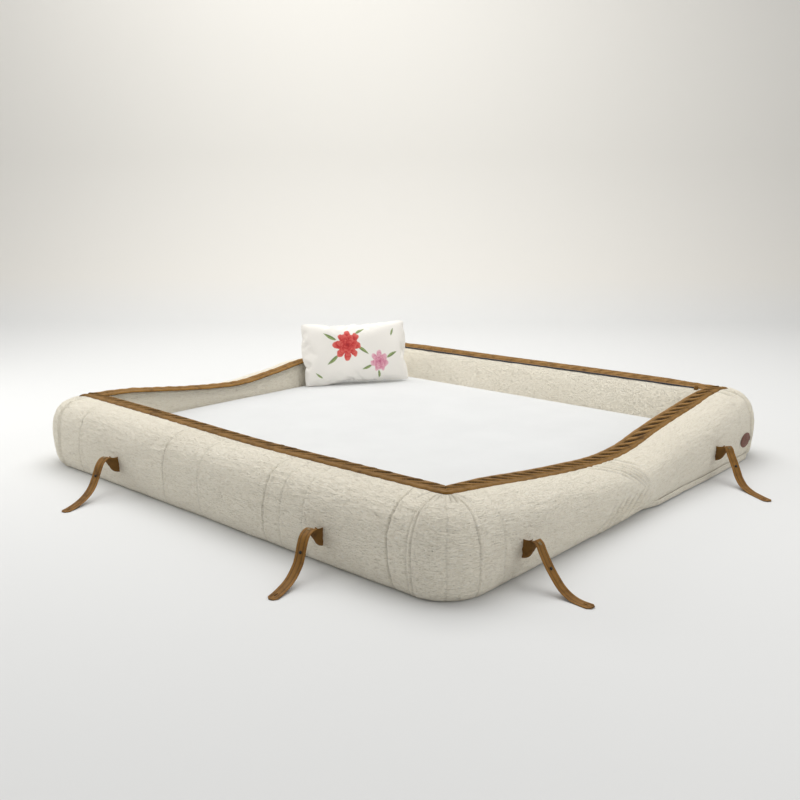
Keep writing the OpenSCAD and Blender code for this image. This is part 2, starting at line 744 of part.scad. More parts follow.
// Strap tails and their studs
module strap_front_left() at_loop(strap_front_left_at) tail();
module strap_front_right() at_loop(strap_front_right_at) tail();
module strap_right_near() at_loop(strap_right_near_at) tail();
module strap_right_far() at_loop(strap_right_far_at) tail();
module strap_left_near() at_loop(strap_left_near_at) tail();
module strap_left_far() at_loop(strap_left_far_at) tail();
module strap_back_left() at_loop(strap_back_left_at) tail();
module strap_back_right() at_loop(strap_back_right_at) tail();
module studs_front_left() at_loop(strap_front_left_at) studs();
module studs_front_right() at_loop(strap_front_right_at) studs();
module studs_right_near() at_loop(strap_right_near_at) studs();
module studs_right_far() at_loop(strap_right_far_at) studs();
module studs_left_near() at_loop(strap_left_near_at) studs();
module studs_left_far() at_loop(strap_left_far_at) studs();
module studs_back_left() at_loop(strap_back_left_at) studs();
module studs_back_right() at_loop(strap_back_right_at) studs();
module pillow() pillow_body();

far_back_rail();
far_side_rails();
far_fold_rail();
far_slats();
far_slat_holders();
far_base_cloth();
far_back_board();
far_side_boards();
far_board_bolts();
far_back_bolster();
far_left_bolster();
far_right_bolster();
far_mattress();
far_back_braid();
far_left_braid();
far_right_braid();
far_strap_roots();
far_hem();
oval_patch();
far_hinge_leaves();
hinge_pins();
near_front_rail();
near_side_rails();
near_fold_rail();
near_slats();
near_slat_holders();
near_base_cloth();
near_front_board();
near_side_boards();
near_board_bolts();
near_front_bolster();
near_left_bolster();
near_right_bolster();
near_mattress();
near_front_braid();
near_left_braid();
near_right_braid();
near_strap_roots();
near_hinge_leaves();
strap_front_left();
strap_front_right();
strap_right_near();
strap_right_far();
strap_left_near();
strap_left_far();
strap_back_left();
strap_back_right();
studs_front_left();
studs_front_right();
studs_right_near();
studs_right_far();
studs_left_near();
studs_left_far();
studs_back_left();
studs_back_right();
pillow();
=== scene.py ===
import json
import math

import bmesh
import bpy
import numpy as np
from mathutils import Matrix, Vector
from mathutils.bvhtree import BVHTree

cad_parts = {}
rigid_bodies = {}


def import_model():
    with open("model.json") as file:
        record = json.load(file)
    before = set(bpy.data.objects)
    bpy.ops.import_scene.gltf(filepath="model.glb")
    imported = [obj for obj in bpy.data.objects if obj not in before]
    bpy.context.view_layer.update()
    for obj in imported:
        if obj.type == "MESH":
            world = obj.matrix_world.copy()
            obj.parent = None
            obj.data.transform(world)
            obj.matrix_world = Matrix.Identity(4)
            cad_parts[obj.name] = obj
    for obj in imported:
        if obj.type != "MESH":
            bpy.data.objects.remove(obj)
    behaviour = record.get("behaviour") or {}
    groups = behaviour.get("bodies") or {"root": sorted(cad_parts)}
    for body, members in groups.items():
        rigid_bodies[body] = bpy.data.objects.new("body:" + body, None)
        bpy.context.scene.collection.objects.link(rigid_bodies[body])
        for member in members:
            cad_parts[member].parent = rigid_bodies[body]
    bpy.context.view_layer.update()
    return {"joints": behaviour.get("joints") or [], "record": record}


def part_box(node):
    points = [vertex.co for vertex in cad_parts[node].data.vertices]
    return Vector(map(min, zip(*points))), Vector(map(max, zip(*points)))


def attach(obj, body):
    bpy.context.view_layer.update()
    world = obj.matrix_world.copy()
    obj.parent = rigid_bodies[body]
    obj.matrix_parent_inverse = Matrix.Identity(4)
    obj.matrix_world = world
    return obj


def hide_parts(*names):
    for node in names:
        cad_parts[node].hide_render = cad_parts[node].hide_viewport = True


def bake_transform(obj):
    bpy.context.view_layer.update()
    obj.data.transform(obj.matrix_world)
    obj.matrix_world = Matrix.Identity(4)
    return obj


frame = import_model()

# Sizes of the border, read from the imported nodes
OUTER_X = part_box("far_right_bolster")[1][0]
OUTER_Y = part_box("far_back_bolster")[1][1]
BRAID_X = sum(corner[0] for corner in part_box("far_right_braid")) / 2
BRAID_Y = sum(corner[1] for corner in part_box("far_back_braid")) / 2
ROLL_OUT = OUTER_X - BRAID_X
# Between the mattress and the border
GAP = 0.0003
WELL_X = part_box("far_mattress")[1][0] + GAP
WELL_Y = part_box("far_mattress")[1][1] + GAP
MATTRESS_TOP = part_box("far_mattress")[1][2]
ARM_IN = BRAID_X - WELL_X
BACK_IN = BRAID_Y - WELL_Y

# The undersides rise towards the hinge line from the floor strips at the two long sides
HINGE_RISE = 0.0053
FOOT_Y = 1.082
# How far the cover's foot is out from the edging, and how far from the middle the strips by the fold
# reach
FOOT_OUT = 0.138
FOLD_REACH = 0.2
UP = np.array([0, 0, 1.0])

# Height of the cover along each side, as (place along the side, height), from the photograph
HEIGHTS = {
    "front": [(-1.017, 0.298), (-0.6, 0.295), (-0.2, 0.289), (0.1, 0.285), (0.5, 0.289), (1.017, 0.297)],
    "right": [(-0.984, 0.296), (-0.79, 0.274), (-0.56, 0.243), (-0.3, 0.213), (-0.02, 0.192),
              (0.14, 0.200), (0.3, 0.227), (0.48, 0.253), (0.67, 0.275), (0.86, 0.300), (0.984, 0.306)],
    "back": [(-1.017, 0.300), (-0.3, 0.300), (0.4, 0.304), (1.017, 0.304)],
    "left": [(-0.984, 0.296), (-0.81, 0.289), (-0.65, 0.270), (-0.48, 0.250), (-0.3, 0.234),
             (-0.2, 0.229), (-0.1, 0.234), (0.0, 0.247), (0.1, 0.260), (0.21, 0.278), (0.5, 0.293),
             (0.984, 0.300)],
}


def smooth_curve(points, where):
    """Cubic through points (x rising), evaluated at an array of places."""
    xs, ys = np.array(points).T
    slopes = np.gradient(ys, xs)
    where = np.clip(where, xs[0], xs[-1])
    i = np.clip(np.searchsorted(xs, where) - 1, 0, len(xs) - 2)
    width = xs[i + 1] - xs[i]
    t = (where - xs[i]) / width
    return ((2 * t**3 - 3 * t**2 + 1) * ys[i] + (t**3 - 2 * t**2 + t) * width * slopes[i]
            + (3 * t**2 - 2 * t**3) * ys[i + 1] + (t**3 - t**2) * width * slopes[i + 1])


def smoothstep(low, high, value):
    t = np.clip((value - low) / (high - low), 0, 1)
    return t * t * (3 - 2 * t)


def lattice(ix, iy, seed):
    """Repeatable random numbers from 0 to 1 on a grid of whole numbers."""
    n = (ix.astype(np.int64) * 374761393 + iy.astype(np.int64) * 668265263 + seed * 144665) & 0xFFFFFFFF
    n = ((n ^ (n >> 13)) * 1274126177) & 0xFFFFFFFF
    return ((n ^ (n >> 16)) & 0xFFFF) / 65535.0


def noise(x, y, seed=0):
    """Smooth noise from -1 to 1."""
    x, y = np.broadcast_arrays(np.asarray(x, float), np.asarray(y, float))
    ix, iy = np.floor(x), np.floor(y)
    fx, fy = x - ix, y - iy
    fx, fy = fx * fx * (3 - 2 * fx), fy * fy * (3 - 2 * fy)
    low = lattice(ix, iy, seed) * (1 - fx) + lattice(ix + 1, iy, seed) * fx
    high = lattice(ix, iy + 1, seed) * (1 - fx) + lattice(ix + 1, iy + 1, seed) * fx
    return (low * (1 - fy) + high * fy) * 2 - 1


def bell(value, width):
    """1 where the value is 0, dying out on both sides."""
    return np.exp(-(value / width) ** 2)


def floor_height(y):
    """Height of the underside at places across the hinge line."""
    return np.maximum(0, HINGE_RISE * (1 - np.abs(y) / FOOT_Y))


# Meshes

def lay(*parts):
    """Arrays broadcast together and stacked as points or as pairs."""
    return np.stack(np.broadcast_arrays(*parts), -1)


def unit(vectors):
    """The same directions with length 1."""
    return vectors / np.maximum(np.linalg.norm(vectors, axis=-1, keepdims=True), 1e-9)


def read(items, key, kind=np.float32, width=1):
    """One attribute of all items of a mesh, one row for each."""
    values = np.empty(len(items) * width, kind)
    items.foreach_get(key, values)
    return values.reshape(-1, width)


def paint(obj, colors, name="shade"):
    """Paints a colour, or a grey in a column, at each point, for the material to read."""
    layer = obj.data.color_attributes.new(name, "FLOAT_COLOR", "POINT")
    values = np.ones((len(obj.data.vertices), 4))
    values[:, :3] = colors
    layer.data.foreach_set("color", values.ravel())


def add_object(name, data):
    obj = bpy.data.objects.new(name, data)
    bpy.context.scene.collection.objects.link(obj)
    return obj


def mesh_object(name, points, faces, material, uv=None, shade=None):
    """A smooth mesh object from an array of points. uv gives one pair per point. shade gives the grey
    that the cover's cloth and leather multiply their colour by, one for all points or one for each."""
    mesh = bpy.data.meshes.new(name)
    mesh.from_pydata(np.asarray(points, float).reshape(-1, 3).tolist(), [], [tuple(f) for f in faces])
    if uv is not None:
        corners = read(mesh.loops, "vertex_index", np.int32)[:, 0]
        pairs = np.asarray(uv, np.float32).reshape(-1, 2)[corners]
        mesh.uv_layers.new(name="UVMap").data.foreach_set("uv", pairs.ravel())
    mesh.polygons.foreach_set("use_smooth", [True] * len(mesh.polygons))
    mesh.materials.append(material)
    mesh.update()
    obj = add_object(name, mesh)
    if shade is not None:
        paint(obj, np.reshape(shade, (-1, 1)))
    return obj


def grid_faces(rows, columns, wrap_rows=False, wrap_columns=False, start=0, flip=False):
    """Quads over a grid of points in row order."""
    i = np.arange(rows if wrap_rows else rows - 1)[:, None]
    j = np.arange(columns if wrap_columns else columns - 1)[None, :]
    i2, j2 = (i + 1) % rows, (j + 1) % columns
    quads = np.stack([i * columns + j, i * columns + j2, i2 * columns + j2, i2 * columns + j], -1)
    quads = quads.reshape(-1, 4) + start
    return quads[:, ::-1] if flip else quads


def tube_faces(rings, sides):
    """Faces of a tube of rings of points, closed at both ends."""
    caps = [range(sides)[::-1], range((rings - 1) * sides, rings * sides)]
    return [*grid_faces(rings, sides, wrap_columns=True), *caps]


def turns(count):
    """Angles that share out a full turn."""
    return np.linspace(0, 2 * math.pi, count, endpoint=False)


def rim_faces(rows, columns, flip=False):
    """Quads that join the rims of two grids that follow one another."""
    index = np.arange(rows * columns).reshape(rows, columns)
    rim = np.concatenate([index[:-1, 0], index[-1, :-1], index[:0:-1, -1], index[0, :0:-1]])
    follow = np.roll(rim, -1)
    quads = np.stack([rim, follow, follow + index.size, rim + index.size], -1)
    return quads[:, [1, 0, 3, 2]] if flip else quads


def tidy_normals(obj):
    """Turns all faces of a closed mesh outwards."""
    mesh = bmesh.new()
    mesh.from_mesh(obj.data)
    bmesh.ops.recalc_face_normals(mesh, faces=mesh.faces)
    mesh.to_mesh(obj.data)
    mesh.free()
    obj.data.polygons.foreach_set("use_smooth", [True] * len(obj.data.polygons))


def apply_modifiers(obj):
    """Gives an object the mesh that its modifiers make, in place of them."""
    graph = bpy.context.evaluated_depsgraph_get()
    mesh = bpy.data.meshes.new_from_object(obj.evaluated_get(graph), preserve_all_data_layers=True,
                                           depsgraph=graph)
    obj.modifiers.clear()
    obj.data = mesh


# Materials

def triple(value):
    """Three values, from three or from one."""
    return value if isinstance(value, tuple) else (value,) * 3


def tinted(color, factor):
    """A colour made lighter or darker by a factor."""
    return tuple(min(1, c * factor) for c in color)


class Surface:
    """A material and the nodes that feed its Principled shader. Constants go on the shader's own
    sockets. Textures follow the UVs or the object's own coordinates, both in metres."""

    def __init__(self, name, color, roughness, source="Object", **constants):
        self.material = bpy.data.materials.new(name)
        self.material.use_nodes = True
        self.tree = self.material.node_tree
        self.sockets = self.tree.nodes["Principled BSDF"].inputs
        self.source = source
        self.sockets["Base Color"].default_value = (*color, 1)
        self.sockets["Roughness"].default_value = roughness
        for key, value in constants.items():
            self.sockets[key.replace("_", " ")].default_value = value

    def link(self, name, value):
        self.tree.links.new(value, self.sockets[name])

    def node(self, kind, inputs=(), **settings):
        """A node with its settings, and inputs that are values or other nodes' outputs."""
        item = self.tree.nodes.new(kind)
        for key, value in settings.items():
            setattr(item, key, value)
        for key, value in dict(inputs).items():
            if isinstance(value, bpy.types.NodeSocket):
                self.tree.links.new(value, item.inputs[key])
            else:
                item.inputs[key].default_value = value
        return item

    def mapped(self, scale):
        """Texture coordinates times a scale."""
        place = self.node("ShaderNodeTexCoord").outputs[self.source]
        inputs = {"Vector": place, "Scale": triple(scale)}
        return self.node("ShaderNodeMapping", inputs).outputs["Vector"]

    def noise(self, scale, detail, rough, distortion=0.0):
        return self.node("ShaderNodeTexNoise", {
            "Vector": self.mapped(scale), "Scale": 1.0, "Detail": detail, "Roughness": rough,
            "Distortion": distortion}).outputs["Fac"]

    def ramp(self, value, *stops):
        """Colour ramp through stops of a position and a colour or grey."""
        item = self.node("ShaderNodeValToRGB", {"Fac": value})
        ends = item.color_ramp.elements
        for k, (position, color) in enumerate(stops):
            stop = ends[k] if k < 2 else ends.new(position)
            stop.position = position
            stop.color = (*triple(color), 1)
        return item.outputs["Color"]

    def combine(self, operation, a, b):
        return self.node("ShaderNodeMath", {0: a, 1: b}, operation=operation).outputs[0]

    def blend(self, mode, factor, first, second):
        return self.node("ShaderNodeMix", {0: factor, 6: first, 7: second}, data_type="RGBA",
                         blend_type=mode).outputs[2]

    def times(self, first, second):
        return self.blend("MULTIPLY", 1.0, first, second)

    def towards(self, color, other, value, share):
        """A colour mixed with a constant one, as far as a value times a share says."""
        return self.blend("MIX", self.combine("MULTIPLY", value, share), color, (*other, 1))

    def painted(self, name="shade"):
        return self.node("ShaderNodeVertexColor", layer_name=name).outputs["Color"]

    def bump(self, *layers):
        """Stacked bumps from (height, distance, strength) layers."""
        below = {}
        for height, distance, strength in layers:
            inputs = {"Height": height, "Distance": distance, "Strength": strength, **below}
            below = {"Normal": self.node("ShaderNodeBump", inputs).outputs["Normal"]}
        self.link("Normal", below["Normal"])


def cover_material(name):
    """Cream crinkled cloth: short wavy ribs along the roll, with painted shade in the hollows of the
    ribs and small crinkles, the loops of its yarn, and pale nubs.
    """
    cloth = Surface(name, (0.8, 0.74, 0.64), 0.92, "UV", Sheen_Weight=0.2)
    ribs = cloth.noise((46, 215, 115), 2.0, 0.58, 0.8)
    small = cloth.noise((140, 400, 200), 3.0, 0.65, 0.5)
    upright = cloth.noise((75, 8, 30), 2.0, 0.5, 0.4)
    loops = cloth.noise((330, 420, 330), 2.0, 0.6, 0.3)
    nubs = cloth.ramp(cloth.noise((105, 150, 120), 1.0, 0.5, 0.3), (0.60, 0), (0.72, 1))
    broad = cloth.noise((2.6, 4.5, 3), 3.0, 0.6)
    # Painted shade: the colour follows the heights of the rib and crinkle bumps, darker in their
    # hollows.
    color = cloth.ramp(ribs, (0.33, (0.835, 0.765, 0.62)), (0.45, (0.94, 0.88, 0.738)),
                       (0.66, (0.97, 0.918, 0.785)))
    color = cloth.times(color, cloth.ramp(small, (0.33, (0.94, 0.935, 0.92)), (0.6, 1)))
    color = cloth.towards(color, (0.96, 0.92, 0.82), loops, 0.2)
    color = cloth.towards(color, (0.98, 0.955, 0.88), nubs, 0.55)
    color = cloth.times(color, cloth.ramp(broad, (0.3, (0.97, 0.965, 0.955)), (0.7, 1)))
    cloth.link("Base Color", cloth.times(color, cloth.painted()))
    cloth.bump((ribs, 0.0066, 1.0), (upright, 0.0028, 0.6), (small, 0.0036, 1.0), (loops, 0.0012, 0.6))
    return cloth.material


def leather_material(name, color, dark):
    """Waxed leather with a pebbled grain, painted darker as painted shade in the hollows of its patch
    bumps, and scuffed lighter in patches.
    """
    hide = Surface(name, color, 0.6, Specular_IOR_Level=0.3)
    patches = hide.noise(22, 4.0, 0.6, 0.6)
    fine = hide.noise(140, 3.0, 0.6)
    pebbles = hide.node("ShaderNodeTexVoronoi", {"Vector": hide.mapped(900), "Scale": 1.0},
                        feature="SMOOTH_F1").outputs["Distance"]
    # Painted shade: the low places of the patch bumps are painted dark, the high ones scuffed lighter.
    base = hide.ramp(patches, (0.3, dark), (0.48, color), (0.74, tinted(color, 1.22)))
    hide.link("Base Color", hide.times(hide.towards(base, dark, fine, 0.25), hide.painted()))
    hide.link("Roughness", hide.ramp(patches, (0.3, 0.7), (0.7, 0.52)))
    hide.bump((patches, 0.002, 0.35), (fine, 0.0008, 0.5), (pebbles, 0.0005, 0.5))
    return hide.material


def cloth_material(name, color, spread=0.04):
    """Smooth woven cloth with a fine thread grid and wide wrinkles."""
    cloth = Surface(name, color, 0.85, Sheen_Weight=0.2)
    weave = [cloth.node("ShaderNodeTexWave", {
        "Vector": cloth.mapped(75), "Scale": 3.0, "Distortion": 0.6},
        bands_direction=axis).outputs["Fac"] for axis in "XY"]
    blotch = cloth.noise(5, 3.0, 0.5)
    cloth.link("Base Color", cloth.ramp(blotch, (0.3, tinted(color, 1 - spread)), (0.7, color)))
    wrinkle = cloth.noise((3.5, 9, 5), 4.0, 0.5, 0.8)
    cloth.bump((wrinkle, 0.004, 0.3), (cloth.combine("ADD", *weave), 0.0002, 0.3))
    return cloth.material


def metal_material(name, color, roughness, metallic, grain=(30, 600, 30)):
    """Metal or hard plastic, bare or painted, with faint drawn lines and worn patches."""
    metal = Surface(name, color, roughness, Metallic=metallic)
    wear = metal.noise(8, 5.0, 0.65)
    metal.link("Base Color", metal.ramp(wear, (0.35, tinted(color, 0.72)), (0.6, color)))
    metal.link("Roughness", metal.ramp(wear, (0.3, min(1, roughness + 0.15)), (0.7, roughness)))
    metal.bump((metal.noise(grain, 3.0, 0.6), 0.0002, 0.4))
    return metal.material


def wood_material(name, light, dark, along=(3, 60, 60)):
    """Wood with its grain along X or Y, as the scale says."""
    wood = Surface(name, light, 0.45)
    grain = wood.noise(along, 6.0, 0.6, 1.2)
    pores = wood.noise(tuple(c * 9 for c in along), 2.0, 0.6)
    wood.link("Base Color", wood.ramp(grain, (0.3, dark), (0.55, light), (0.75, tinted(light, 1.15))))
    wood.bump((grain, 0.0008, 0.4), (pores, 0.0003, 0.5))
    return wood.material


def printed_material(name):
    """Cotton printed with the colours painted on the mesh, with a fine weave."""
    cotton = Surface(name, (0.9, 0.88, 0.84), 0.8, "UV", Sheen_Weight=0.2)
    speck = cotton.noise(900, 2.0, 0.5)
    color = cotton.times(cotton.painted("print"), cotton.ramp(speck, (0.3, 0.95), (0.7, 1)))
    cotton.link("Base Color", color)
    cotton.bump((cotton.noise(14, 4.0, 0.55, 1.0), 0.003, 0.3), (speck, 0.0003, 0.35))
    return cotton.material


COVER = cover_material("cream_crinkle_cloth")
LEATHER = leather_material("tan_leather", (0.228, 0.107, 0.016), (0.12, 0.052, 0.008))
BRAID_LEATHER = leather_material("braid_leather", (0.275, 0.140, 0.028), (0.15, 0.072, 0.013))
PATCH_LEATHER = leather_material("reddish_leather", (0.17, 0.072, 0.05), (0.10, 0.04, 0.03))
SHEET = cloth_material("white_sheet", (0.705, 0.72, 0.728))
TICKING = cloth_material("mattress_ticking", (0.78, 0.77, 0.73))
LINING = cloth_material("lining_cloth", (0.72, 0.68, 0.6), spread=0.12)
DUST = cloth_material("dust_cloth", (0.035, 0.035, 0.037), spread=0.3)
# Near-black zip tape, which is also painted shade under the inner edge of the back edging.
ZIP_SHADE_TAPE = cloth_material("zip_tape_and_shade_cloth", (0.018, 0.02, 0.032), spread=0.3)
PRINT = printed_material("printed_cotton")
TUBE_STEEL = metal_material("black_painted_steel", (0.03, 0.03, 0.032), 0.45, 0.0, (60, 60, 60))
HINGE_STEEL = metal_material("zinc_steel", (0.55, 0.55, 0.56), 0.35, 1.0)
STUD_METAL = metal_material("antique_brass", (0.24, 0.18, 0.10), 0.35, 1.0, (400, 400, 400))
DARK_METAL = metal_material("black_stud_metal", (0.05, 0.045, 0.04), 0.4, 1.0, (400, 400, 400))
PLYWOOD = wood_material("birch_plywood", (0.62, 0.47, 0.29), (0.47, 0.33, 0.18))
BEECH = wood_material("bent_beech", (0.66, 0.46, 0.27), (0.52, 0.33, 0.17), (60, 3, 60))
PLASTIC = metal_material("black_plastic", (0.02, 0.02, 0.02), 0.5, 0.0, (300, 300, 300))


def assign_cad_materials():
    """Each CAD node that stays in view gets the material of its slot."""
    by_slot = {
        "cover_cloth": COVER, "sheet_cloth": SHEET, "pillow_cloth": SHEET, "dust_cloth": DUST,
        "tan_leather": LEATHER, "patch_leather": PATCH_LEATHER, "stud_metal": STUD_METAL,
        "frame_steel": TUBE_STEEL, "hinge_steel": HINGE_STEEL, "slat_wood": BEECH,
        "plywood": PLYWOOD, "holder_plastic": PLASTIC,
    }
    for part in frame["record"]["subparts"]:
        data = bpy.data.objects[part["node"]].data
        data.materials.clear()
        data.materials.append(by_slot[part["material_slot"]])


# Border: for each side its outward direction, the distance of its edging from the middle, and half
# the length of its edging

SIDES = {
    "front": ((0, -1), BRAID_Y, BRAID_X),
    "right": ((1, 0), BRAID_X, BRAID_Y),
    "back": ((0, 1), BRAID_Y, BRAID_X),
    "left": ((-1, 0), BRAID_X, BRAID_Y),
}
SIDE_ORDER = list(SIDES)
CORNER_ARC = ROLL_OUT * math.pi / 2


def side_start(side):
    """Distance round the border at which a side starts, from the start of the front."""
    total = 0
    for other in SIDE_ORDER:
        if other == side:
            return total
        total += 2 * SIDES[other][2] + CORNER_ARC
    return total


PERIMETER = side_start("end")


def run_sign(side):
    """Whether a side is walked towards +X or +Y (1) or away from it (-1), anticlockwise."""
    return 1 if side in ("front", "right") else -1


def around(side, place):
    """Distance round the border of a place (x or y) on a side, which may lie in its corners."""
    return (side_start(side) + SIDES[side][2] + place * run_sign(side)) % PERIMETER


# Vertical seams in the cover: side, place along it, depth, bow of its middle, shift of its top, and
# whether it has a raised welt
SEAMS = [
    ("front", -0.856, 0.7, 0.016, 0.02, 0.9), ("front", -0.24, 0.75, 0.014, 0.01, 1.0),
    ("front", -0.012, 0.4, 0.008, 0.0, 0.1), ("front", 0.352, 1.0, 0.022, 0.02, 0.7),
    ("front", 0.44, 0.5, 0.018, 0.02, 0.8), ("front", 0.556, 0.35, 0.01, 0.0, 0.5),
    ("front", 0.948, 1.1, -0.012, -0.045, 0.5), ("front", 1.026, 0.7, 0.005, 0.01, 1.1),
    ("front", 1.008, 0.6, 0.006, 0.015, 0.9),
    ("front", BRAID_X + CORNER_ARC * 0.44, 0.45, 0.0, 0.0, 0.0),
    ("right", -1.02, 0.75, -0.018, -0.045, 0.3), ("right", -0.90, 0.45, -0.02, 0.10, 0.2),
    ("right", 0.86, 0.25, 0.01, 0.0, 0.2), ("right", BRAID_Y - 0.005, 1.6, 0.012, 0.0, 1.5),
    ("front", -BRAID_X + 0.004, 1.7, -0.012, 0.01, 1.5),
    ("front", -BRAID_X - CORNER_ARC * 0.72, 0.8, 0.0, 0.0, 0.4), ("back", 0.5, 0.8, 0.01, 0, 0.5),
    ("back", -0.1, 0.6, 0.01, 0, 0.4), ("back", -0.7, 0.9, 0.01, 0, 0.6),
    ("left", 0.6, 0.6, 0.01, 0, 0.4), ("left", -0.62, 0.7, 0.01, 0, 0.5),
    ("left", BRAID_Y + 0.1, 0.9, 0.01, 0, 0.5),
]


def with_seams(places, low, high):
    """Adds places close together at the seams that lie between low and high."""
    extra = [p + np.arange(-11, 12) * 0.0028 for p in
             (around(side, place) for side, place, *_ in SEAMS) if low < p < high]
    every = np.sort(np.concatenate([places] + extra))
    every = every[(every >= low) & (every < high)]
    keep = np.concatenate([[True], np.diff(every) > 0.0009])
    return every[keep]


def border_stations(step):
    """Places round the border: base point, outward direction, height and distance round."""
    rows = []
    for k, side in enumerate(SIDE_ORDER):
        (ox, oy), offset, half = SIDES[side]
        sign = run_sign(side)
        start = side_start(side)
        rounds = with_seams(start + np.arange(int(2 * half / step)) * step, start, start + 2 * half)
        places = (rounds - start - half) * sign
        heights = smooth_curve(HEIGHTS[side], places)
        for place, height, s in zip(places, heights, rounds):
            base = (place, offset * oy) if ox == 0 else (offset * ox, place)
            rows.append((*base, ox, oy, height, s))
        following = SIDE_ORDER[(k + 1) % 4]
        (nx, ny), _, next_half = SIDES[following]
        first = float(smooth_curve(HEIGHTS[side], np.array([half * sign]))[0])
        last = float(smooth_curve(HEIGHTS[following], np.array([-next_half * run_sign(following)]))[0])
        corner = ((ox + nx) * BRAID_X, (oy + ny) * BRAID_Y)
        start += 2 * half
        for s in with_seams(start + np.arange(int(CORNER_ARC / step)) * step, start, start + CORNER_ARC):
            share = (s - start) / CORNER_ARC
            angle = share * math.pi / 2
            c, d = math.cos(angle), math.sin(angle)
            rows.append((*corner, ox * c + nx * d, oy * c + ny * d, first + (last - first) * share, s))
    return np.array(rows)


# Section of the roll: its widest place as a share of its height, how square it is above and below
# that, and how far its shoulder stands up
WAIST = 0.44
UPPER_POWER = 2.7
LOWER_POWER = 2.3
CROWN = 0.006
SECTION_STEPS = 40
# How far out the cloth goes on under the roll, inside the foot
UNDER_FOOT = (0.105, 0.07, 0.0348)
# Length of the section from the edging to the floor, which sets the number of its rows
ROLL_GIRTH = 0.47


def section(height, base):
    """Outer section of the roll: outward and upward places, from the edging to the floor strip."""
    waist = base + (height - base) * WAIST
    a = np.linspace(math.pi / 2, 0, SECTION_STEPS + 1)[None, :]
    b = np.linspace(0, math.pi / 2, SECTION_STEPS + 1)[None, 1:]
    upper_out = ROLL_OUT * np.cos(a) ** (2 / UPPER_POWER)
    upper_up = waist + (height - waist) * np.sin(a) ** (2 / UPPER_POWER) + CROWN * np.sin(2 * a) ** 2
    lower_out = FOOT_OUT + (ROLL_OUT - FOOT_OUT) * np.cos(b) ** (2 / LOWER_POWER)
    lower_up = waist - (waist - base) * np.sin(b) ** (2 / LOWER_POWER)
    ones = np.ones_like(height)
    return (np.concatenate([upper_out * ones, lower_out * ones], 1),
            np.concatenate([upper_up, lower_up], 1))


def even_rows(outward, upward, count):
    """The same sections with their points spread evenly along their length."""
    length = np.concatenate([np.zeros((len(outward), 1)), np.cumsum(
        np.hypot(np.diff(outward, axis=1), np.diff(upward, axis=1)), axis=1)], 1)
    result = np.empty((2, len(outward), count))
    for i in range(len(outward)):
        at = np.linspace(0, length[i, -1], count)
        result[0, i] = np.interp(at, length[i], outward[i])
        result[1, i] = np.interp(at, length[i], upward[i])
    return result[0], result[1], length[:, -1:] * np.linspace(0, 1, count)[None, :]


def gap_round(s, place):
    """Signed distance round the border."""
    return (s - place + PERIMETER / 2) % PERIMETER - PERIMETER / 2


def cover_relief(s, down, share, lines):
    """How far the cloth stands out or in at distance s round and down the section. It also paints
    shade into the grooves of the seams, in lines."""
    relief = 0.0045 * noise(s * 3.1, down * 4, 1) + 0.0022 * noise(s * 8.5, down * 11, 2)
    for side, place, depth, bow, shift, welt in SEAMS:
        d = gap_round(s, around(side, place))
        near = np.abs(d[:, 0]) < 0.2
        d = d[near] - bow * (1 - (2 * share[near] - 1) ** 2)
        d = d - shift * run_sign(side) * np.clip(1 - share[near] / 0.4, 0, 1) ** 2
        d = d + 0.004 * noise(down[near] * 12, place * 7, 5)
        pinch = 0.0022 * bell(d, 0.045) + 0.0046 * bell(d, 0.0040)
        pinch -= welt * 0.0034 * bell(d - 0.011, 0.0075)
        # Painted shade along the groove of each seam.
        lines[near] *= 1 - 0.20 * min(1, depth) * bell(d, 0.0034)
        pucker = 0.0017 * np.exp(-(np.abs(d) / 0.045)) * noise(s[near] * 12, down[near] * 62, 6)
        relief[near] -= depth * (pinch - pucker)
    relief += 0.0013 * noise(s * 26 + 2 * noise(s * 9, down * 30, 8), down * 80, 3)
    return relief + 0.0024 * bell(down, 0.055) * noise(s * 34 + down * 20, down * 5, 7)


# Creases that the edging pulls into the cloth: side, place at the top, drift downwards, depth, length
PULLS = [
    ("right", -0.235, 0.17, 0.8, 0.62), ("right", -0.200, 0.165, 1.1, 0.72),
    ("right", -0.165, 0.15, 1.1, 0.75), ("right", -0.125, 0.13, 1.1, 0.72),
    ("right", -0.085, 0.10, 1.0, 0.68), ("right", -0.03, 0.07, 0.7, 0.5),
    ("right", BRAID_Y - 0.055, 0.03, 1.8, 0.3), ("right", -1.10, -0.05, 1.4, 0.24),
    ("right", -1.06, -0.06, 1.5, 0.26), ("right", -0.985, -0.02, 0.7, 0.3),
    ("front", 1.075, 0.02, 0.9, 0.22), ("front", 0.99, -0.03, 0.8, 0.24),
    ("left", -0.2, -0.06, 0.9, 0.5), ("left", -0.14, -0.05, 0.9, 0.5), ("left", -0.26, -0.05, 0.8, 0.45),
]


def pulled_creases(s, share, lines):
    """Fine creases that start under the edging, with painted shade along them in lines."""
    relief = 0
    for side, place, drift, depth, reach in PULLS:
        d = gap_round(s, around(side, place)) - drift * run_sign(side) * share ** 1.3 / 0.5
        fade = smoothstep(0.02, 0.06, share) * (1 - smoothstep(reach * 0.5, reach, share))
        # Painted shade along each crease.
        lines *= 1 - 0.36 * min(1, depth) * fade * bell(d, 0.0042)
        relief = relief - depth * fade * (0.0050 * bell(d, 0.0060) - 0.0034 * bell(d - 0.015, 0.010))
    return relief


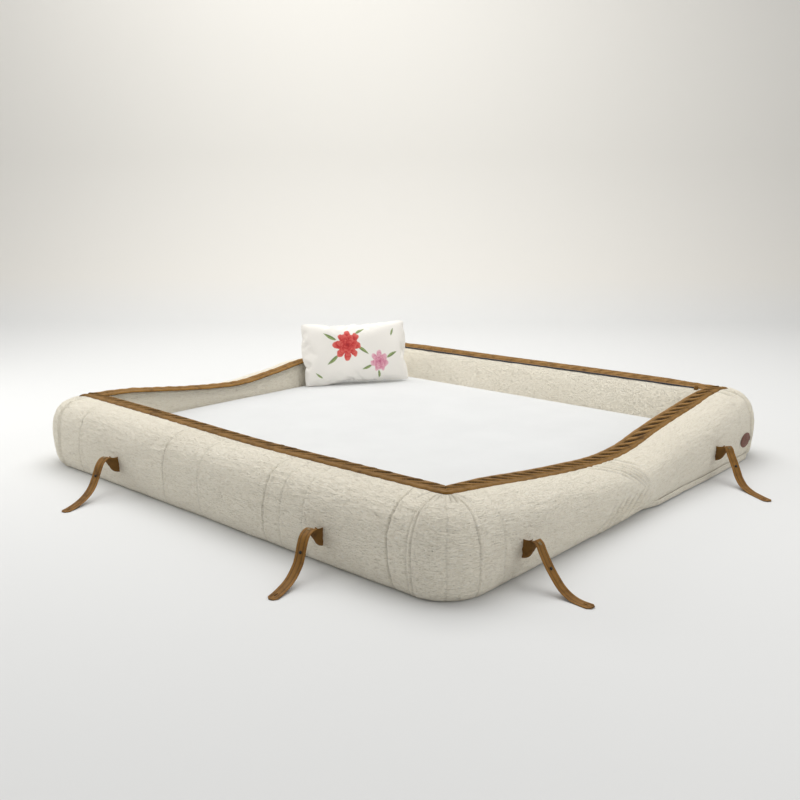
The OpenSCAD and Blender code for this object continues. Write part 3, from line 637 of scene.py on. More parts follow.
def fold_pleats(s, share, lines):
    """Pleats where the cover bunches at the fold, low on both arms, with painted shade in their hollows,
    in lines.
    """
    relief = 0
    for side, place, size in (("right", -0.005, 1.0), ("left", -0.12, 0.6)):
        d = gap_round(s, around(side, place)) + 0.48 * (share - 0.60)
        turn = 2 * math.pi * (d + 0.018 * noise(share * 4, d * 9, 9)) / 0.048
        wave = np.sin(turn + 0.5 * np.sin(turn)) * (0.7 + 0.6 * noise(d * 13, share * 3, 10))
        low = (np.exp(-(np.abs(d + 0.05) / 0.16) ** 4) * smoothstep(0.60, 0.76, share)
               * (1 - smoothstep(0.94, 1.0, share)))
        relief = relief + size * 0.0070 * wave * low
        # Painted shade in the hollows of the pleats.
        lines *= 1 - 0.26 * size * low * smoothstep(-0.3, -1.0, wave)
    return relief


def strap_dents(s, down, upward):
    """Dents where the strap roots pull on the cloth, with short wrinkles round them."""
    relief = 0
    for joint in STRAP_JOINTS:
        d = gap_round(s, around(*strap_side(joint)))
        r = np.hypot(d, upward - ROOT_UP)
        relief = relief - 0.004 * bell(r, 0.045)
        relief = relief + 0.0016 * bell(r, 0.075) * noise(d * 22, down * 70, 15)
    return relief


def inner_wall(side, step):
    """Inner face of one side, from the edging down to below the mattress's top, and its UVs."""
    (ox, oy), offset, half = SIDES[side]
    inset, mitre = (BACK_IN, ARM_IN) if oy else (ARM_IN, BACK_IN)
    shares = np.linspace(-1, 1, int(2 * half / step))[:, None]
    t = np.linspace(0, 1, max(8, int(0.2 / step)))[None, :]
    place = shares * (half - mitre * t)
    height = smooth_curve(HEIGHTS[side], (shares * half).ravel())[:, None]
    bottom = MATTRESS_TOP - 0.012
    upward = bottom + (height - bottom) * (1 - t ** 2.1)
    inward = inset * t ** 0.85
    down = (height - upward) + inward
    s = place * run_sign(side) + side_start(side)
    wave = 0.003 * noise(s * 5, down * 5, 11) + 0.0012 * noise(s * 24, down * 60, 12)
    wave = wave + 0.002 * noise(s * 28, down * 4, 13) * bell(down, 0.05)
    wave = wave * smoothstep(0, 0.15, t) * (1 - smoothstep(0.8, 1, t))
    out = offset - inward - wave * (0.6 if oy else 1)
    points = lay(place, out * oy, upward + wave * 0.6) if oy else lay(out * ox, place, upward)
    return points, lay(s, -down)


def build_cover():
    """The cloth over the padded border, one continuous piece."""
    step = 0.006
    x, y, out_x, out_y, height, s = border_stations(step).T[..., None]
    count = int(ROLL_GIRTH / (0.0045))
    base = floor_height(y)
    outward, upward, down = even_rows(*section(height, base), count)
    under = np.array([UNDER_FOOT])
    outward = np.concatenate([outward, under * np.ones_like(height)], 1)
    upward = np.concatenate([upward, base * np.ones((1, 3))], 1)
    down = np.concatenate([down, down[:, -1:] + FOOT_OUT - under], 1)
    grid = lay(x + out_x * outward, y + out_y * outward, upward)
    share = np.clip(down / down[:, count - 1:count], 0, 1)
    # lines gathers the painted shade of the seams, creases and pleats.
    lines = np.ones_like(down)
    relief = cover_relief(s, down, share, lines)
    relief = relief + (pulled_creases(s, share, lines) + fold_pleats(s, share, lines))
    relief += strap_dents(s, down, upward)
    relief = relief * smoothstep(0.085, 0.15, share) * (1 - smoothstep(0.96, 1, share))
    normal = unit(np.cross(np.gradient(grid, axis=1), np.roll(grid, -1, 0) - np.roll(grid, 1, 0)))
    normal[..., 2] *= np.where(share > 0.9, 0.2, 1)
    grid = grid + normal * relief[..., None]
    points, uvs, shades = [grid.reshape(-1, 3)], [lay(s, -down).reshape(-1, 2)], [lines.ravel()]
    faces = [grid_faces(*down.shape, wrap_rows=True)]
    total = down.size
    for side in SIDE_ORDER:
        wall, wall_uv = inner_wall(side, step * 1.3)
        faces.append(grid_faces(*wall.shape[:2], start=total, flip=side in ("front", "right")))
        points.append(wall.reshape(-1, 3))
        uvs.append(wall_uv.reshape(-1, 2))
        shades.append(np.ones(len(points[-1])))
        total += len(points[-1])
    cover = mesh_object("border_cover", np.concatenate(points), np.concatenate(faces), COVER,
                        np.concatenate(uvs), np.concatenate(shades))
    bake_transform(cover)
    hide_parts("far_back_bolster", "far_left_bolster", "far_right_bolster",
                "near_front_bolster", "near_left_bolster", "near_right_bolster")
    return cover


def build_linings():
    """Cloth under the two long sides, between the floor strip and the frame."""
    xs = np.linspace(-BRAID_X - 0.03, BRAID_X + 0.03, 120)[:, None]
    ys = np.linspace(BRAID_Y - 0.0765, BRAID_Y + 0.036, 10)[None, :]
    z = floor_height(ys) + 0.0012 + 0.0008 * noise(xs * 9, ys * 30, 21)
    for sign, body in ((1, "far_half"), (-1, "near_half")):
        grid = lay(xs, ys * sign, z)
        lining = mesh_object(f"lining_{body}", grid, grid_faces(*z.shape, flip=sign > 0), LINING,
                             grid[..., :2])
        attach(lining, body)


# Mattress and sheet

# Half the pad's size, the rounding of its rim, and how much of the sheet is tucked down
PAD_X = WELL_X - GAP
PAD_Y = WELL_Y - GAP
PAD_EDGE = 0.03
TUCK = 0.045


def mattress_top(x, y, top):
    """Heights of the soft top, rounded at its rim, and the distance from the rim."""
    rim = np.minimum(PAD_X - np.abs(x), PAD_Y - np.abs(y))
    drop = PAD_EDGE * (1 - np.sqrt(np.clip(1 - (1 - np.clip(rim / PAD_EDGE, 0, 1)) ** 2, 0, 1)))
    ripple = 0.002 * noise(x * 3, y * 3, 31) - 0.0035
    return top - drop + ripple * smoothstep(0, 0.05, rim), rim


def build_mattress():
    """The mattress, one closed pad over both halves of the well."""
    step = 0.014
    xs, ys = np.meshgrid(*(np.linspace(-1, 1, int(2 * half / step)) * half for half in (PAD_X, PAD_Y)),
                         indexing="ij")
    z, _ = mattress_top(xs, ys, MATTRESS_TOP - 0.002)
    points = np.stack([lay(xs, ys, z), lay(xs * 0.985, ys * 0.985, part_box("far_mattress")[0][2])])
    faces = np.concatenate([grid_faces(*xs.shape), grid_faces(*xs.shape, start=xs.size, flip=True),
                            rim_faces(*xs.shape, flip=True)])
    pad = mesh_object("mattress_pad", points, faces, TICKING, points[..., :2])
    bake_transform(pad)
    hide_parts("far_mattress", "near_mattress")


def build_sheet():
    """The white sheet, pulled over the pad and tucked down at its edges."""
    step = 0.012
    gx, gy = np.meshgrid(*(np.linspace(-half - TUCK, half + TUCK, int(2 * (half + TUCK) / step))
                           for half in (PAD_X, PAD_Y)), indexing="ij")
    over = np.hypot(np.maximum(0, np.abs(gx) - PAD_X), np.maximum(0, np.abs(gy) - PAD_Y))
    px, py = np.clip(gx, -PAD_X, PAD_X), np.clip(gy, -PAD_Y, PAD_Y)
    z, rim = mattress_top(px, py, MATTRESS_TOP + 0.0005)
    pull = 0.0016 * noise(gx * 4, gy * 1.5, 41) + 0.0009 * noise(gx * 12, gy * 5, 42)
    z = z + pull * smoothstep(0, 0.1, rim) - over
    sheet = mesh_object("bed_sheet", lay(px, py, z), grid_faces(*gx.shape), SHEET, lay(gx, gy))
    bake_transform(sheet)


# Plaited edging

# Distance between its gaps, how high it lies, half its width and half a gap's, and a gap's slant
PITCH = 0.065
BRAID_LIFT = 0.0006
BAND = 0.034
SLOT_HALF = 0.0135
SLOT_RUN = 0.082
# Which way the gaps slant on each side
PLAIT_RUN = {"front": 1, "right": -1, "back": -1, "left": 1}
# How far the edging leans outwards on a side, as a slope, and how much wider than its band it lies
SIDE_TILT = {"front": (0.0, 1.0), "right": (0.13, 1.28), "back": (-0.30, 1.0), "left": (0.0, 1.0)}


def edging_frame(side, along):
    """World points of the edging's line on a side, and its outward and upward directions."""
    (ox, oy), offset, _ = SIDES[side]
    step = 0.004
    height, ahead, behind = (smooth_curve(HEIGHTS[side], along + d) for d in (0, step, -step))
    out, run = np.array([ox, oy, 0.0]), np.abs([oy, ox, 0.0])
    base = run * along[:, None] + out * offset
    base[:, 2] = height + BRAID_LIFT
    tangent = unit(run + UP * ((ahead - behind) / (2 * step))[:, None])
    return base, out, unit(UP - tangent * tangent[:, 2:3])


def plait_height(walk, across):
    """Height of the plait, how dark its gaps are painted as painted shade, and its seam grooves, at a
    distance along and a place across.

    Its tongues overlap like shingles; each ends at an S-shaped gap from the outer to the inner band."""
    tau = 0.5 + np.arcsin(np.clip(-across / SLOT_HALF, -1, 1)) / math.pi
    turn = (walk + 0.002 * noise(walk * 9, across * 30, 51) - SLOT_RUN * tau) / PITCH
    number = np.floor(turn)
    phase = turn - number
    wide = 1 - smoothstep(SLOT_HALF * 0.82, SLOT_HALF * 1.25, np.abs(across))
    loose = 0.8 + 0.4 * lattice(number, number * 0, 52)
    taper = 0.45 + 0.55 * np.sqrt(np.clip(1 - (across / SLOT_HALF) ** 2, 0, 1))
    gap = (1 - smoothstep(0.29 * taper, 0.44 * taper, phase)) + smoothstep(0.965, 1.0, phase)
    gap = gap * wide
    q = np.abs(across) / BAND
    crown = 0.0022 + 0.0068 * np.sqrt(np.clip(1 - q ** 2.6, 0, 1))
    rise = 0.0042 * loose * wide * smoothstep(0.02, 0.95, phase) ** 1.2
    seam = 0.0016 * bell(across + SLOT_HALF * 1.3, 0.0022)
    seam = seam + 0.0012 * bell(across - SLOT_HALF * 1.35, 0.0022)
    height = crown + rise - 0.0062 * gap - seam + 0.0006 * noise(walk * 40, across * 60, 53)
    return height, np.clip(gap, 0, 1), seam / 0.0016


def plait_edges(walk):
    """Inner and outer edges of the band: nearly straight inside, scalloped outside."""
    scallop = np.abs(np.sin(math.pi * (walk / PITCH + 0.2))) ** 0.6
    outer = BAND - 0.0042 + 0.0042 * scallop + 0.0008 * noise(walk * 30, 0, 54)
    inner = BAND - 0.0022 + 0.0016 * scallop + 0.0006 * noise(walk * 22, 0, 55)
    return -inner, outer


def corner_shape(side, along, across):
    """Keeps a side's points inside its mitres. The near corner is rounded; the others have a tip."""
    half = SIDES[side][2]
    end = np.sign(along)
    past = np.clip(np.abs(along) - half, -10, across)
    near = ((side == "front") & (end > 0)) | ((side == "right") & (end < 0))
    rounded = np.minimum(1, BAND * 0.96 / np.maximum(np.hypot(past, across), 1e-6))
    tip = (1 + 0.32 * smoothstep(0.45, 1.0, past / np.maximum(across, 1e-6))
           * smoothstep(0.012, 0.034, across))
    factor = np.where((past > 0) & (across > 0), np.where(near, rounded, tip), 1)
    return end * (half + past * np.where(past > 0, factor, 1)), across * factor


def build_edging(side):
    """The plaited leather edging of one side."""
    half = SIDES[side][2] + BAND
    step, columns = ((0.0022, 40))
    along = np.linspace(-half, half, int(2 * half / step))[:, None]
    walk = along * PLAIT_RUN[side] + side_start(side)
    inner, outer = plait_edges(walk)
    t = np.linspace(0, 1, columns)[None, :]
    across = inner + (outer - inner) * t
    height, gap, seam = plait_height(walk, across)
    height = height * (1 - 0.55 * bell(np.minimum(t, 1 - t) * (outer - inner), 0.0022))
    below = (outer - inner) / 2 * np.array([[1.0, 0.75, -0.75, -1.0]]) + (outer + inner) / 2
    across = np.concatenate([across, below * np.array([[0.985, 1, 1, 0.985]])], 1)
    height = np.concatenate([height, np.full_like(below, -0.0022)], 1)
    lift = 0.012 * np.clip(np.abs(across) / BAND - 0.55, 0, 1) ** 2
    tilt, wider = SIDE_TILT[side]
    fade = np.clip((half - BAND - np.abs(along)) / 0.25, 0, 1)
    lift = lift + across * tilt * fade
    across = across * (1 + (wider - 1) * fade)
    placed, shifted = corner_shape(side, along * np.ones_like(across), across)
    base, out, up = edging_frame(side, placed.ravel())
    points = base + out * shifted.ravel()[:, None] + up * (height - lift).ravel()[:, None]
    # Painted shade: the gaps and seam grooves are painted dark, the underside at half, and the outer
    # part of the band a little darker than the inner part.
    dark = np.concatenate([1 - 0.93 * gap - 0.35 * seam, np.full_like(below, 0.5)], 1)
    band = 1 - 0.16 * smoothstep(0.3, 0.8, across / BAND)
    edging = mesh_object(f"edging_{side}", points, grid_faces(*across.shape, wrap_columns=True),
                         BRAID_LEATHER, shade=np.clip(dark, 0.06, 1) * band)
    tidy_normals(edging)
    half_name = {"front": "near", "back": "far"}.get(side)
    if half_name:
        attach(edging, f"{half_name}_half")
        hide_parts(f"{half_name}_{side}_braid")
    else:
        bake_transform(edging)
        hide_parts(f"far_{side}_braid", f"near_{side}_braid")


# Straps: each joint of the frame that swings a tail gives its loop and its heading. The tails hang
# in the curves that the photograph shows, as (outward from the loop, up from the floor).
STRAP_JOINTS = [joint for joint in frame["joints"] if joint["name"].startswith("swing_")]
TAILS = {
    "front_left": [(0, 0.150), (0.018, 0.148), (0.038, 0.135), (0.056, 0.109), (0.074, 0.079),
                   (0.097, 0.051), (0.125, 0.031), (0.16, 0.016), (0.198, 0.007), (0.235, 0.0028),
                   (0.256, 0.0024)],
    "front_right": [(0, 0.150), (0.020, 0.149), (0.040, 0.139), (0.055, 0.115), (0.065, 0.088),
                    (0.079, 0.062), (0.100, 0.042), (0.127, 0.024), (0.17, 0.010), (0.21, 0.0035),
                    (0.2275, 0.0026)],
    "right_near": [(0, 0.150), (0.012, 0.142), (0.024, 0.122), (0.038, 0.100), (0.056, 0.075),
                   (0.075, 0.052), (0.098, 0.028), (0.126, 0.011), (0.153, 0.0035), (0.188, 0.0022),
                   (0.215, 0.004)],
    "right_far": [(0, 0.150), (0.014, 0.143), (0.027, 0.125), (0.048, 0.100), (0.069, 0.074),
                  (0.09, 0.043), (0.124, 0.017), (0.168, 0.005), (0.215, 0.0022), (0.255, 0.0022),
                  (0.287, 0.004)],
}
PLAIN_TAIL = [(0, 0.150), (0.014, 0.147), (0.03, 0.133), (0.048, 0.108), (0.066, 0.080), (0.088, 0.050),
              (0.115, 0.026), (0.15, 0.008), (0.19, 0.0025), (0.22, 0.0024)]
# Where a root starts below its loop, its rows, and its height on the face; then widths and thickness
ROOT_DROP = -0.040
ROOT_STEPS = 36
ROOT_UP = 0.10
ROOT_W = 0.066
STRAP_W = 0.038
STRAP_T = 0.0034
# The nodes that hold the roots of all straps of a half are replaced with one strap of that half
ROOT_NODES = {"front_left": ["near_strap_roots"], "right_far": ["far_strap_roots"]}
SLOT_TO_TIP = 0.027
SNAP_FROM_LOOP = 0.014
KNOB_FROM_LOOP = 0.094


def bezier(corners, t):
    p = np.array(corners, float)
    t = np.asarray(t, float)[:, None]
    return (1 - t) ** 3 * p[0] + 3 * t * (1 - t) ** 2 * p[1] + 3 * t**2 * (1 - t) * p[2] + t**3 * p[3]


def strap_side(joint):
    """The side of the border that a strap hangs on, and its place along that side."""
    x, y = joint["pos_m"][:2]
    if abs(y) / OUTER_Y > abs(x) / OUTER_X:
        return ("front" if y < 0 else "back"), x
    return ("right" if x > 0 else "left"), y


def strap_heading(joint):
    """The level direction in which a strap's tail leaves its loop."""
    return np.array([-joint["axis"][1], joint["axis"][0], 0.0])


def strap_route(joint):
    """Points of a strap's middle line from the face to the tip, how far each is twisted (1 is upright),
    its distance along the strap, and the distance of the loop."""
    side, _ = strap_side(joint)
    out = np.array([*SIDES[side][0], 0.0])
    heading = strap_heading(joint)
    loop = np.array(joint["pos_m"], float)
    gap = float(np.dot(loop, out)) - (OUTER_Y if side in ("front", "back") else OUTER_X)
    start = loop - out * (gap + 0.012)
    start[2] = loop[2] + ROOT_DROP
    share = np.linspace(0, 1, ROOT_STEPS)
    corners = [start, start + out * (gap + 0.004), loop - heading * 0.016 + (0, 0, -0.014), loop]
    root = bezier(corners, share)
    profile = np.array(TAILS.get(joint["name"].removeprefix("swing_"), PLAIN_TAIL))
    length = np.concatenate([[0], np.cumsum(np.hypot(*np.diff(profile, axis=0).T))])
    at = np.linspace(0, length[-1], 90)[1:]
    d, z = (smooth_curve(np.stack([length, column], 1), at) for column in profile.T)
    tail = loop + heading * d[:, None]
    tail[:, 2] = z
    route = np.concatenate([root, tail])
    twist = np.concatenate([1 - smoothstep(0.54, 1.0, share), np.zeros(len(tail))])
    along = np.concatenate([[0], np.cumsum(np.linalg.norm(np.diff(route, axis=0), axis=1))])
    even = np.linspace(0, along[-1], 120)
    route = np.stack([np.interp(even, along, route[:, k]) for k in range(3)], 1)
    return route, np.interp(even, along, twist), even, along[ROOT_STEPS - 1]


# Which way a root twists on each side
TWIST_HAND = {"front": 1, "right": -1, "left": 1, "back": -1}


def strap_frames(joint):
    """Route of a strap with its across and upward directions, its lengths and its loop's place."""
    route, twist, along, loop_at = strap_route(joint)
    ahead = unit(np.gradient(route, axis=0))
    turn = twist * math.pi / 2 * 0.93
    upright = UP * (np.sin(turn) * TWIST_HAND[strap_side(joint)[0]])[:, None]
    wide = unit(unit(np.cross(UP, ahead)) * np.cos(turn)[:, None] + upright)
    return route, wide, unit(np.cross(ahead, wide)), along, loop_at


def strap_section():
    """Half widths and heights of a strap's section, with two grooves and a raised middle."""
    top = [(-1, 0.25), (-0.96, 0.85), (-0.86, 1), (-0.56, 1.0), (-0.50, 0.96), (-0.45, 0.35),
           (-0.40, 0.98), (-0.2, 1.15), (0, 1.2), (0.2, 1.15), (0.40, 0.98), (0.45, 0.35),
           (0.50, 0.96), (0.56, 1.0), (0.86, 1), (0.96, 0.85), (1, 0.25)]
    under = [(1, -0.25), (0.94, -0.95), (0.5, -1), (0, -1), (-0.5, -1), (-0.94, -0.95), (-1, -0.25)]
    shape = np.array(top + under)
    return shape[:, 0], shape[:, 1] * STRAP_T / 2


def build_strap(joint):
    """A leather strap in one piece, from its root in the cover to its tip on the floor."""
    name, tail = joint["name"].removeprefix("swing_"), joint["child"]
    route, wide, thick, length, loop_at = strap_frames(joint)
    across, above = strap_section()
    to_tip = length[-1] - length
    narrow = np.interp(to_tip, [0, 0.012, 1], [0.42, 1, 1])
    half = (ROOT_W + (STRAP_W - ROOT_W) * smoothstep(0, loop_at, length)) / 2 * narrow
    seed = abs(route[0, 0] * 3 + route[0, 1])
    wobble = 0.0012 * noise(length * 12, seed, 61)
    place = across * half[:, None] + wobble[:, None]
    column = length[:, None]
    rumple = 0.0016 * noise(column * 45, place * 60 + seed, 62) * bell(column, 0.05)
    points = (route[:, None] + wide[:, None] * place[..., None]
              + thick[:, None] * (above + rumple)[..., None])
    points[..., 2] = np.maximum(points[..., 2], 0.0004)
    # Painted shade: the grooves and the underside are painted darker, and the rounded edges a little
    # lighter.
    groove = bell(np.abs(across) - 0.45, 0.05) * (above > 0)
    edge = smoothstep(0.8, 1.0, np.abs(across))
    shade = 1 - 0.62 * groove + 0.12 * edge - 0.25 * (above < 0)
    strap = mesh_object(f"leather_strap_{name}", points, tube_faces(*place.shape), LEATHER,
                        lay(column, place), np.tile(shade, len(route)))
    cut_slot(strap, route, wide, to_tip)
    tidy_normals(strap)
    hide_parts(f"strap_{name}", *ROOT_NODES.get(name, []))
    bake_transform(strap)
    build_studs(name, route, wide, thick, length - loop_at, tail)


def cut_slot(strap, route, wide, to_tip):
    """Cuts the buckle slot through the tip of a strap."""
    row = int(np.argmin(np.abs(to_tip - SLOT_TO_TIP)))
    centre = route[row]
    ahead = (route[-1] - route[row]) / np.linalg.norm(route[-1] - route[row])
    half_length, radius, sides = 0.006, 0.0028, 20
    a = 2 * math.pi * np.arange(sides) / sides
    u = np.copysign(half_length, np.cos(a)) + radius * np.cos(a)
    outline = centre + ahead * u[:, None] + wide[row] * (radius * np.sin(a))[:, None]
    points = np.concatenate([outline - (0, 0, 0.02), outline + (0, 0, 0.02)])
    faces = [range(sides)[::-1], range(sides, 2 * sides)]
    faces += [(i, (i + 1) % sides, sides + (i + 1) % sides, sides + i) for i in range(sides)]
    cutter = mesh_object("slot_cutter", points, faces, LEATHER)
    tidy_normals(cutter)
    modifier = strap.modifiers.new("slot", "BOOLEAN")
    modifier.object = cutter
    modifier.operation = "DIFFERENCE"
    modifier.solver = "EXACT"
    bpy.context.view_layer.update()
    apply_modifiers(strap)
    bpy.data.objects.remove(cutter)


def lathe(profile, sides=24):
    """Points and faces of a turned form with its axis along Z, from (radius, height) pairs."""
    points = [(r * math.cos(t), r * math.sin(t), z) for r, z in profile for t in turns(sides)]
    return points, tube_faces(len(profile), sides)


# Profiles of the studs, as (radius, height)
SNAP = [(0.0048, -0.0036), (0.0052, -0.003), (0.0052, -0.0022), (0.0022, -0.0021), (0.0022, 0.002),
        (0.0058, 0.0021), (0.0062, 0.0027), (0.0058, 0.0034), (0.0046, 0.0036), (0.0040, 0.0028),
        (0.0026, 0.0026), (0.0018, 0.0031), (0.0004, 0.0033)]
KNOB = [(0.0046, -0.0036), (0.0050, -0.003), (0.0050, -0.0022), (0.0020, -0.0021), (0.0020, 0.002),
        (0.0052, 0.0021), (0.0056, 0.0028), (0.0048, 0.0042), (0.0030, 0.0052), (0.0004, 0.0055)]


def build_studs(name, route, wide, thick, beyond, tail):
    """The snap near the loop and the domed stud half way down."""
    for kind, at, profile, material in (("snap", SNAP_FROM_LOOP, SNAP, STUD_METAL),
                                        ("knob", KNOB_FROM_LOOP, KNOB, DARK_METAL)):
        row = int(np.argmin(np.abs(beyond - at)))
        up = Vector(thick[row])
        side = Vector(wide[row])
        turn = Matrix((side.cross(up), side, up)).transposed().to_4x4()
        points, faces = lathe(profile)
        stud = mesh_object(f"{kind}_{name}", points, faces, material)
        stud.data.transform(Matrix.Translation(Vector(route[row]) + up * 0.0002) @ turn)
        tidy_normals(stud)
        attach(stud, tail)
        if kind == "snap":
            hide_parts(f"studs_{name}")


def cover_faces(cover):
    """A lookup of the border's outer face: the place where a level ray first meets it."""
    tree = BVHTree.FromPolygons([v.co for v in cover.data.vertices],
                                [p.vertices[:] for p in cover.data.polygons])

    def face(y, z):
        hit = tree.ray_cast(Vector((OUTER_X + 0.3, y, z)), Vector((-1, 0, 0)))[0]
        return hit.x if hit else OUTER_X
    return face


# Oval patch and hem

def build_oval(cover):
    """Bare oval leather patch, with a pressed line inside its edge, sewn on the cover's face."""
    low, high = (Vector(corner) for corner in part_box("oval_patch"))
    centre, size = (low + high) / 2, high - low
    face = cover_faces(cover)
    profile = [(0.985, -0.0009), (1.0, 0.0), (0.99, 0.0009), (0.95, 0.0014), (0.88, 0.00145),
               (0.86, 0.0009), (0.84, 0.0014), (0.6, 0.0017), (0.3, 0.0018), (0.02, 0.0018)]
    sides = 64
    points = []
    for r, x in profile:
        for t in turns(sides):
            y = centre.y + r * (size.y / 2) * math.cos(t)
            z = centre.z + r * (size.z / 2) * math.sin(t)
            reach = (-0.012, 0, 0.012)
            around_it = [face(y + i, z + j) for i in reach for j in reach]
            points.append((x + 0.0022 + sum(around_it) / 9, y, z))
    oval = mesh_object("oval_leather", points, tube_faces(len(profile), sides), PATCH_LEATHER, shade=1)
    tidy_normals(oval)
    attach(oval, "far_half")
    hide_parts("oval_patch")


def build_hem(cover):
    """Cloth hem that stands along the foot of the far half's right arm, a flange under a crease."""
    face = cover_faces(cover)
    start, end, tall = 0.035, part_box("far_hem")[1][1], 0.034
    ys = np.linspace(start, end, 190)
    spread = (-0.02, 0.0, 0.02)
    upper, lower = (np.array([[sum(face(y + d, level) for d in spread) / 3] for y in ys])
                    for level in (0.036, 0.014))
    ys = ys[:, None]
    grown = smoothstep(0.03, 0.13, ys)
    a = turns(16)[None, :]
    t = 0.5 - 0.5 * np.sin(a)
    top = 0.031 + 0.0015 * noise(ys * 9, 0, 81)
    foot = floor_height(ys) + 0.0008
    up = foot + (top - foot) * (1 - t)
    stand = (0.0015 + 0.0085 * t ** 0.8) * grown - 0.007 * (1 - grown)
    x = upper + (lower - upper) * t + stand + 0.0024 * np.cos(a) + 0.0012 * noise(ys * 18, t * 2, 83)
    hem = mesh_object("foot_hem", lay(x, ys, up), tube_faces(*x.shape), COVER, lay(ys, up + 0.4), 1)
    tidy_normals(hem)
    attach(hem, "far_half")
    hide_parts("far_hem")


def build_gussets():
    """Strips of cloth inside the foot of the cover by the fold, which close the openings that the cover
    leaves as it lifts there when the halves fold."""
    length, tall = FOLD_REACH + 0.01, 0.058
    along = np.linspace(0, 1, 60)[:, None]
    rise = np.linspace(0, 1, 12)[None, :]
    y = 0.008 + length * along
    z = floor_height(y) + 0.003 + rise * tall
    x = BRAID_X + FOOT_OUT - 0.014 + 0.010 * rise ** 1.5 + 0.0015 * noise(along * 14, rise * 2, 87)
    for half, side in (("far", "right"), ("far", "left"), ("near", "right"), ("near", "left")):
        sign_x, sign_y = 1 if side == "right" else -1, 1 if half == "far" else -1
        # The strips' shade of 0.94 is painted shade inside the cover's foot.
        gusset = mesh_object(f"fold_gusset_{half}_{side}", lay(sign_x * x, sign_y * y, z),
                             grid_faces(*x.shape, flip=sign_x * sign_y < 0), COVER, lay(y, z), 0.94)
        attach(gusset, f"{half}_half")


def build_zip():
    """The near-black zip tape under the inner edge of the back edging, whose dark colour also stands in
    as painted shade under that edge, and its leather pull.
    """
    xs = np.linspace(-BRAID_X + 0.06, BRAID_X - 0.085, 320)[:, None]
    height = smooth_curve(HEIGHTS["back"], xs)
    a = turns(8)[None, :]
    y = BRAID_Y - BAND * 1.02 + 0.0014 * noise(xs * 16, 0, 85) + 0.0042 * np.cos(a)
    z = height + 0.0006 * noise(xs * 40, 0, 86) - 0.0015 + 0.0036 * np.sin(a)
    # The tape's near-black colour is also painted shade under the edging's inner edge.
    tape = mesh_object("zip_and_shade_tape", lay(xs, y, z), tube_faces(*y.shape), ZIP_SHADE_TAPE)
    tidy_normals(tape)
    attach(tape, "far_half")
    points, faces = lathe([(0.004, 0.0), (0.009, 0.002), (0.0105, 0.008), (0.009, 0.016), (0.006, 0.021),
                           (0.002, 0.023)], 20)
    pull = mesh_object("zip_pull", points, faces, LEATHER, shade=0.8)
    at = Vector((xs[-1, 0] + 0.012, BRAID_Y - BAND * 1.12, float(height[-1, 0]) - 0.010))
    pull.data.transform(Matrix.Translation(at))
    tidy_normals(pull)
    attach(pull, "far_half")


# Pillow

# Size, how far it sinks into the sheet, place on the mattress, and turn and lean in degrees
PILLOW_W = 0.605
PILLOW_H = 0.344
PILLOW_DEEP = 0.118
PILLOW_SINK = 0.001
PILLOW_AT = (-0.797, 0.486)
PILLOW_TURN = 62
PILLOW_LEAN = 15


def paint_flower(color, x, y, centre, radius, dark, mid, light, petals, seed):
    """A bloom of overlapping rounded petals in rings, painted from the outside in."""
    """A bloom of overlapping rounded petals in rings, painted from the outside in."""
    dx, dy = x - centre[0], y - centre[1]
    dx = dx + radius * 0.05 * noise(x * 60, y * 60, seed)
    dy = dy + radius * 0.05 * noise(x * 60, y * 60, seed + 1)
    r, angle = np.hypot(dx, dy), np.arctan2(dy, dx)
    for ring, share in enumerate((1.0, 0.78, 0.58, 0.4, 0.25)):
        count = max(3, petals - ring)
        turn = (angle + ring * 0.7 + seed) * count / (2 * math.pi)
        piece = np.floor(turn)
        f = turn - piece - 0.5
        size = radius * share * (0.9 + 0.2 * lattice(piece % count, piece * 0 + ring, seed))
        edge = size * np.clip(np.cos(math.pi * f * 0.86), 0.05, 1) ** 0.4
        inside = smoothstep(0, radius * 0.04, edge - r)
        tone = np.clip(r / edge, 0, 1) ** 1.6 * (1 - 0.35 * np.abs(f) * 2)
        tone = tone + 0.1 * noise(r * 200, f * 5, seed + 2)
        rim = np.clip((edge - r) / (radius * 0.03), 0, 1)
        petal = mid + (light - mid) * np.clip(tone * 1.6 - 0.7, 0, 1)
        petal = petal + (dark - petal) * np.clip(0.75 - tone * 1.3, 0, 1)
        petal = petal + (light - petal) * (0.5 * (1 - rim))
        color[:] = color + (petal - color) * inside


def paint_leaf(color, x, y, centre, length, degrees, green, pale, seed):
    """A pointed leaf with a pale midrib and side veins."""
    c, s = math.cos(math.radians(degrees)), math.sin(math.radians(degrees))
    u = ((x - centre[0]) * c + (y - centre[1]) * s) / length
    v = (-(x - centre[0]) * s + (y - centre[1]) * c) / length + 0.06 * u * u
    edge = 0.22 * (1 - u * u) * (1 - 0.3 * u)
    inside = smoothstep(0, 0.03, edge - np.abs(v)) * (np.abs(u) < 1)
    veins = np.abs(np.sin((u - np.abs(v) * 1.6) * 14))
    tone = np.clip(0.25 + 0.5 * (v > 0) + 0.25 * noise(u * 5, v * 9, seed), 0, 1)
    leaf = green + (pale - green) * tone
    leaf = leaf + (pale * 1.15 - leaf) * (0.7 * (np.abs(v) < 0.018) + 0.25 * (veins < 0.18))
    color[:] = color + (np.clip(leaf, 0, 1) - color) * inside


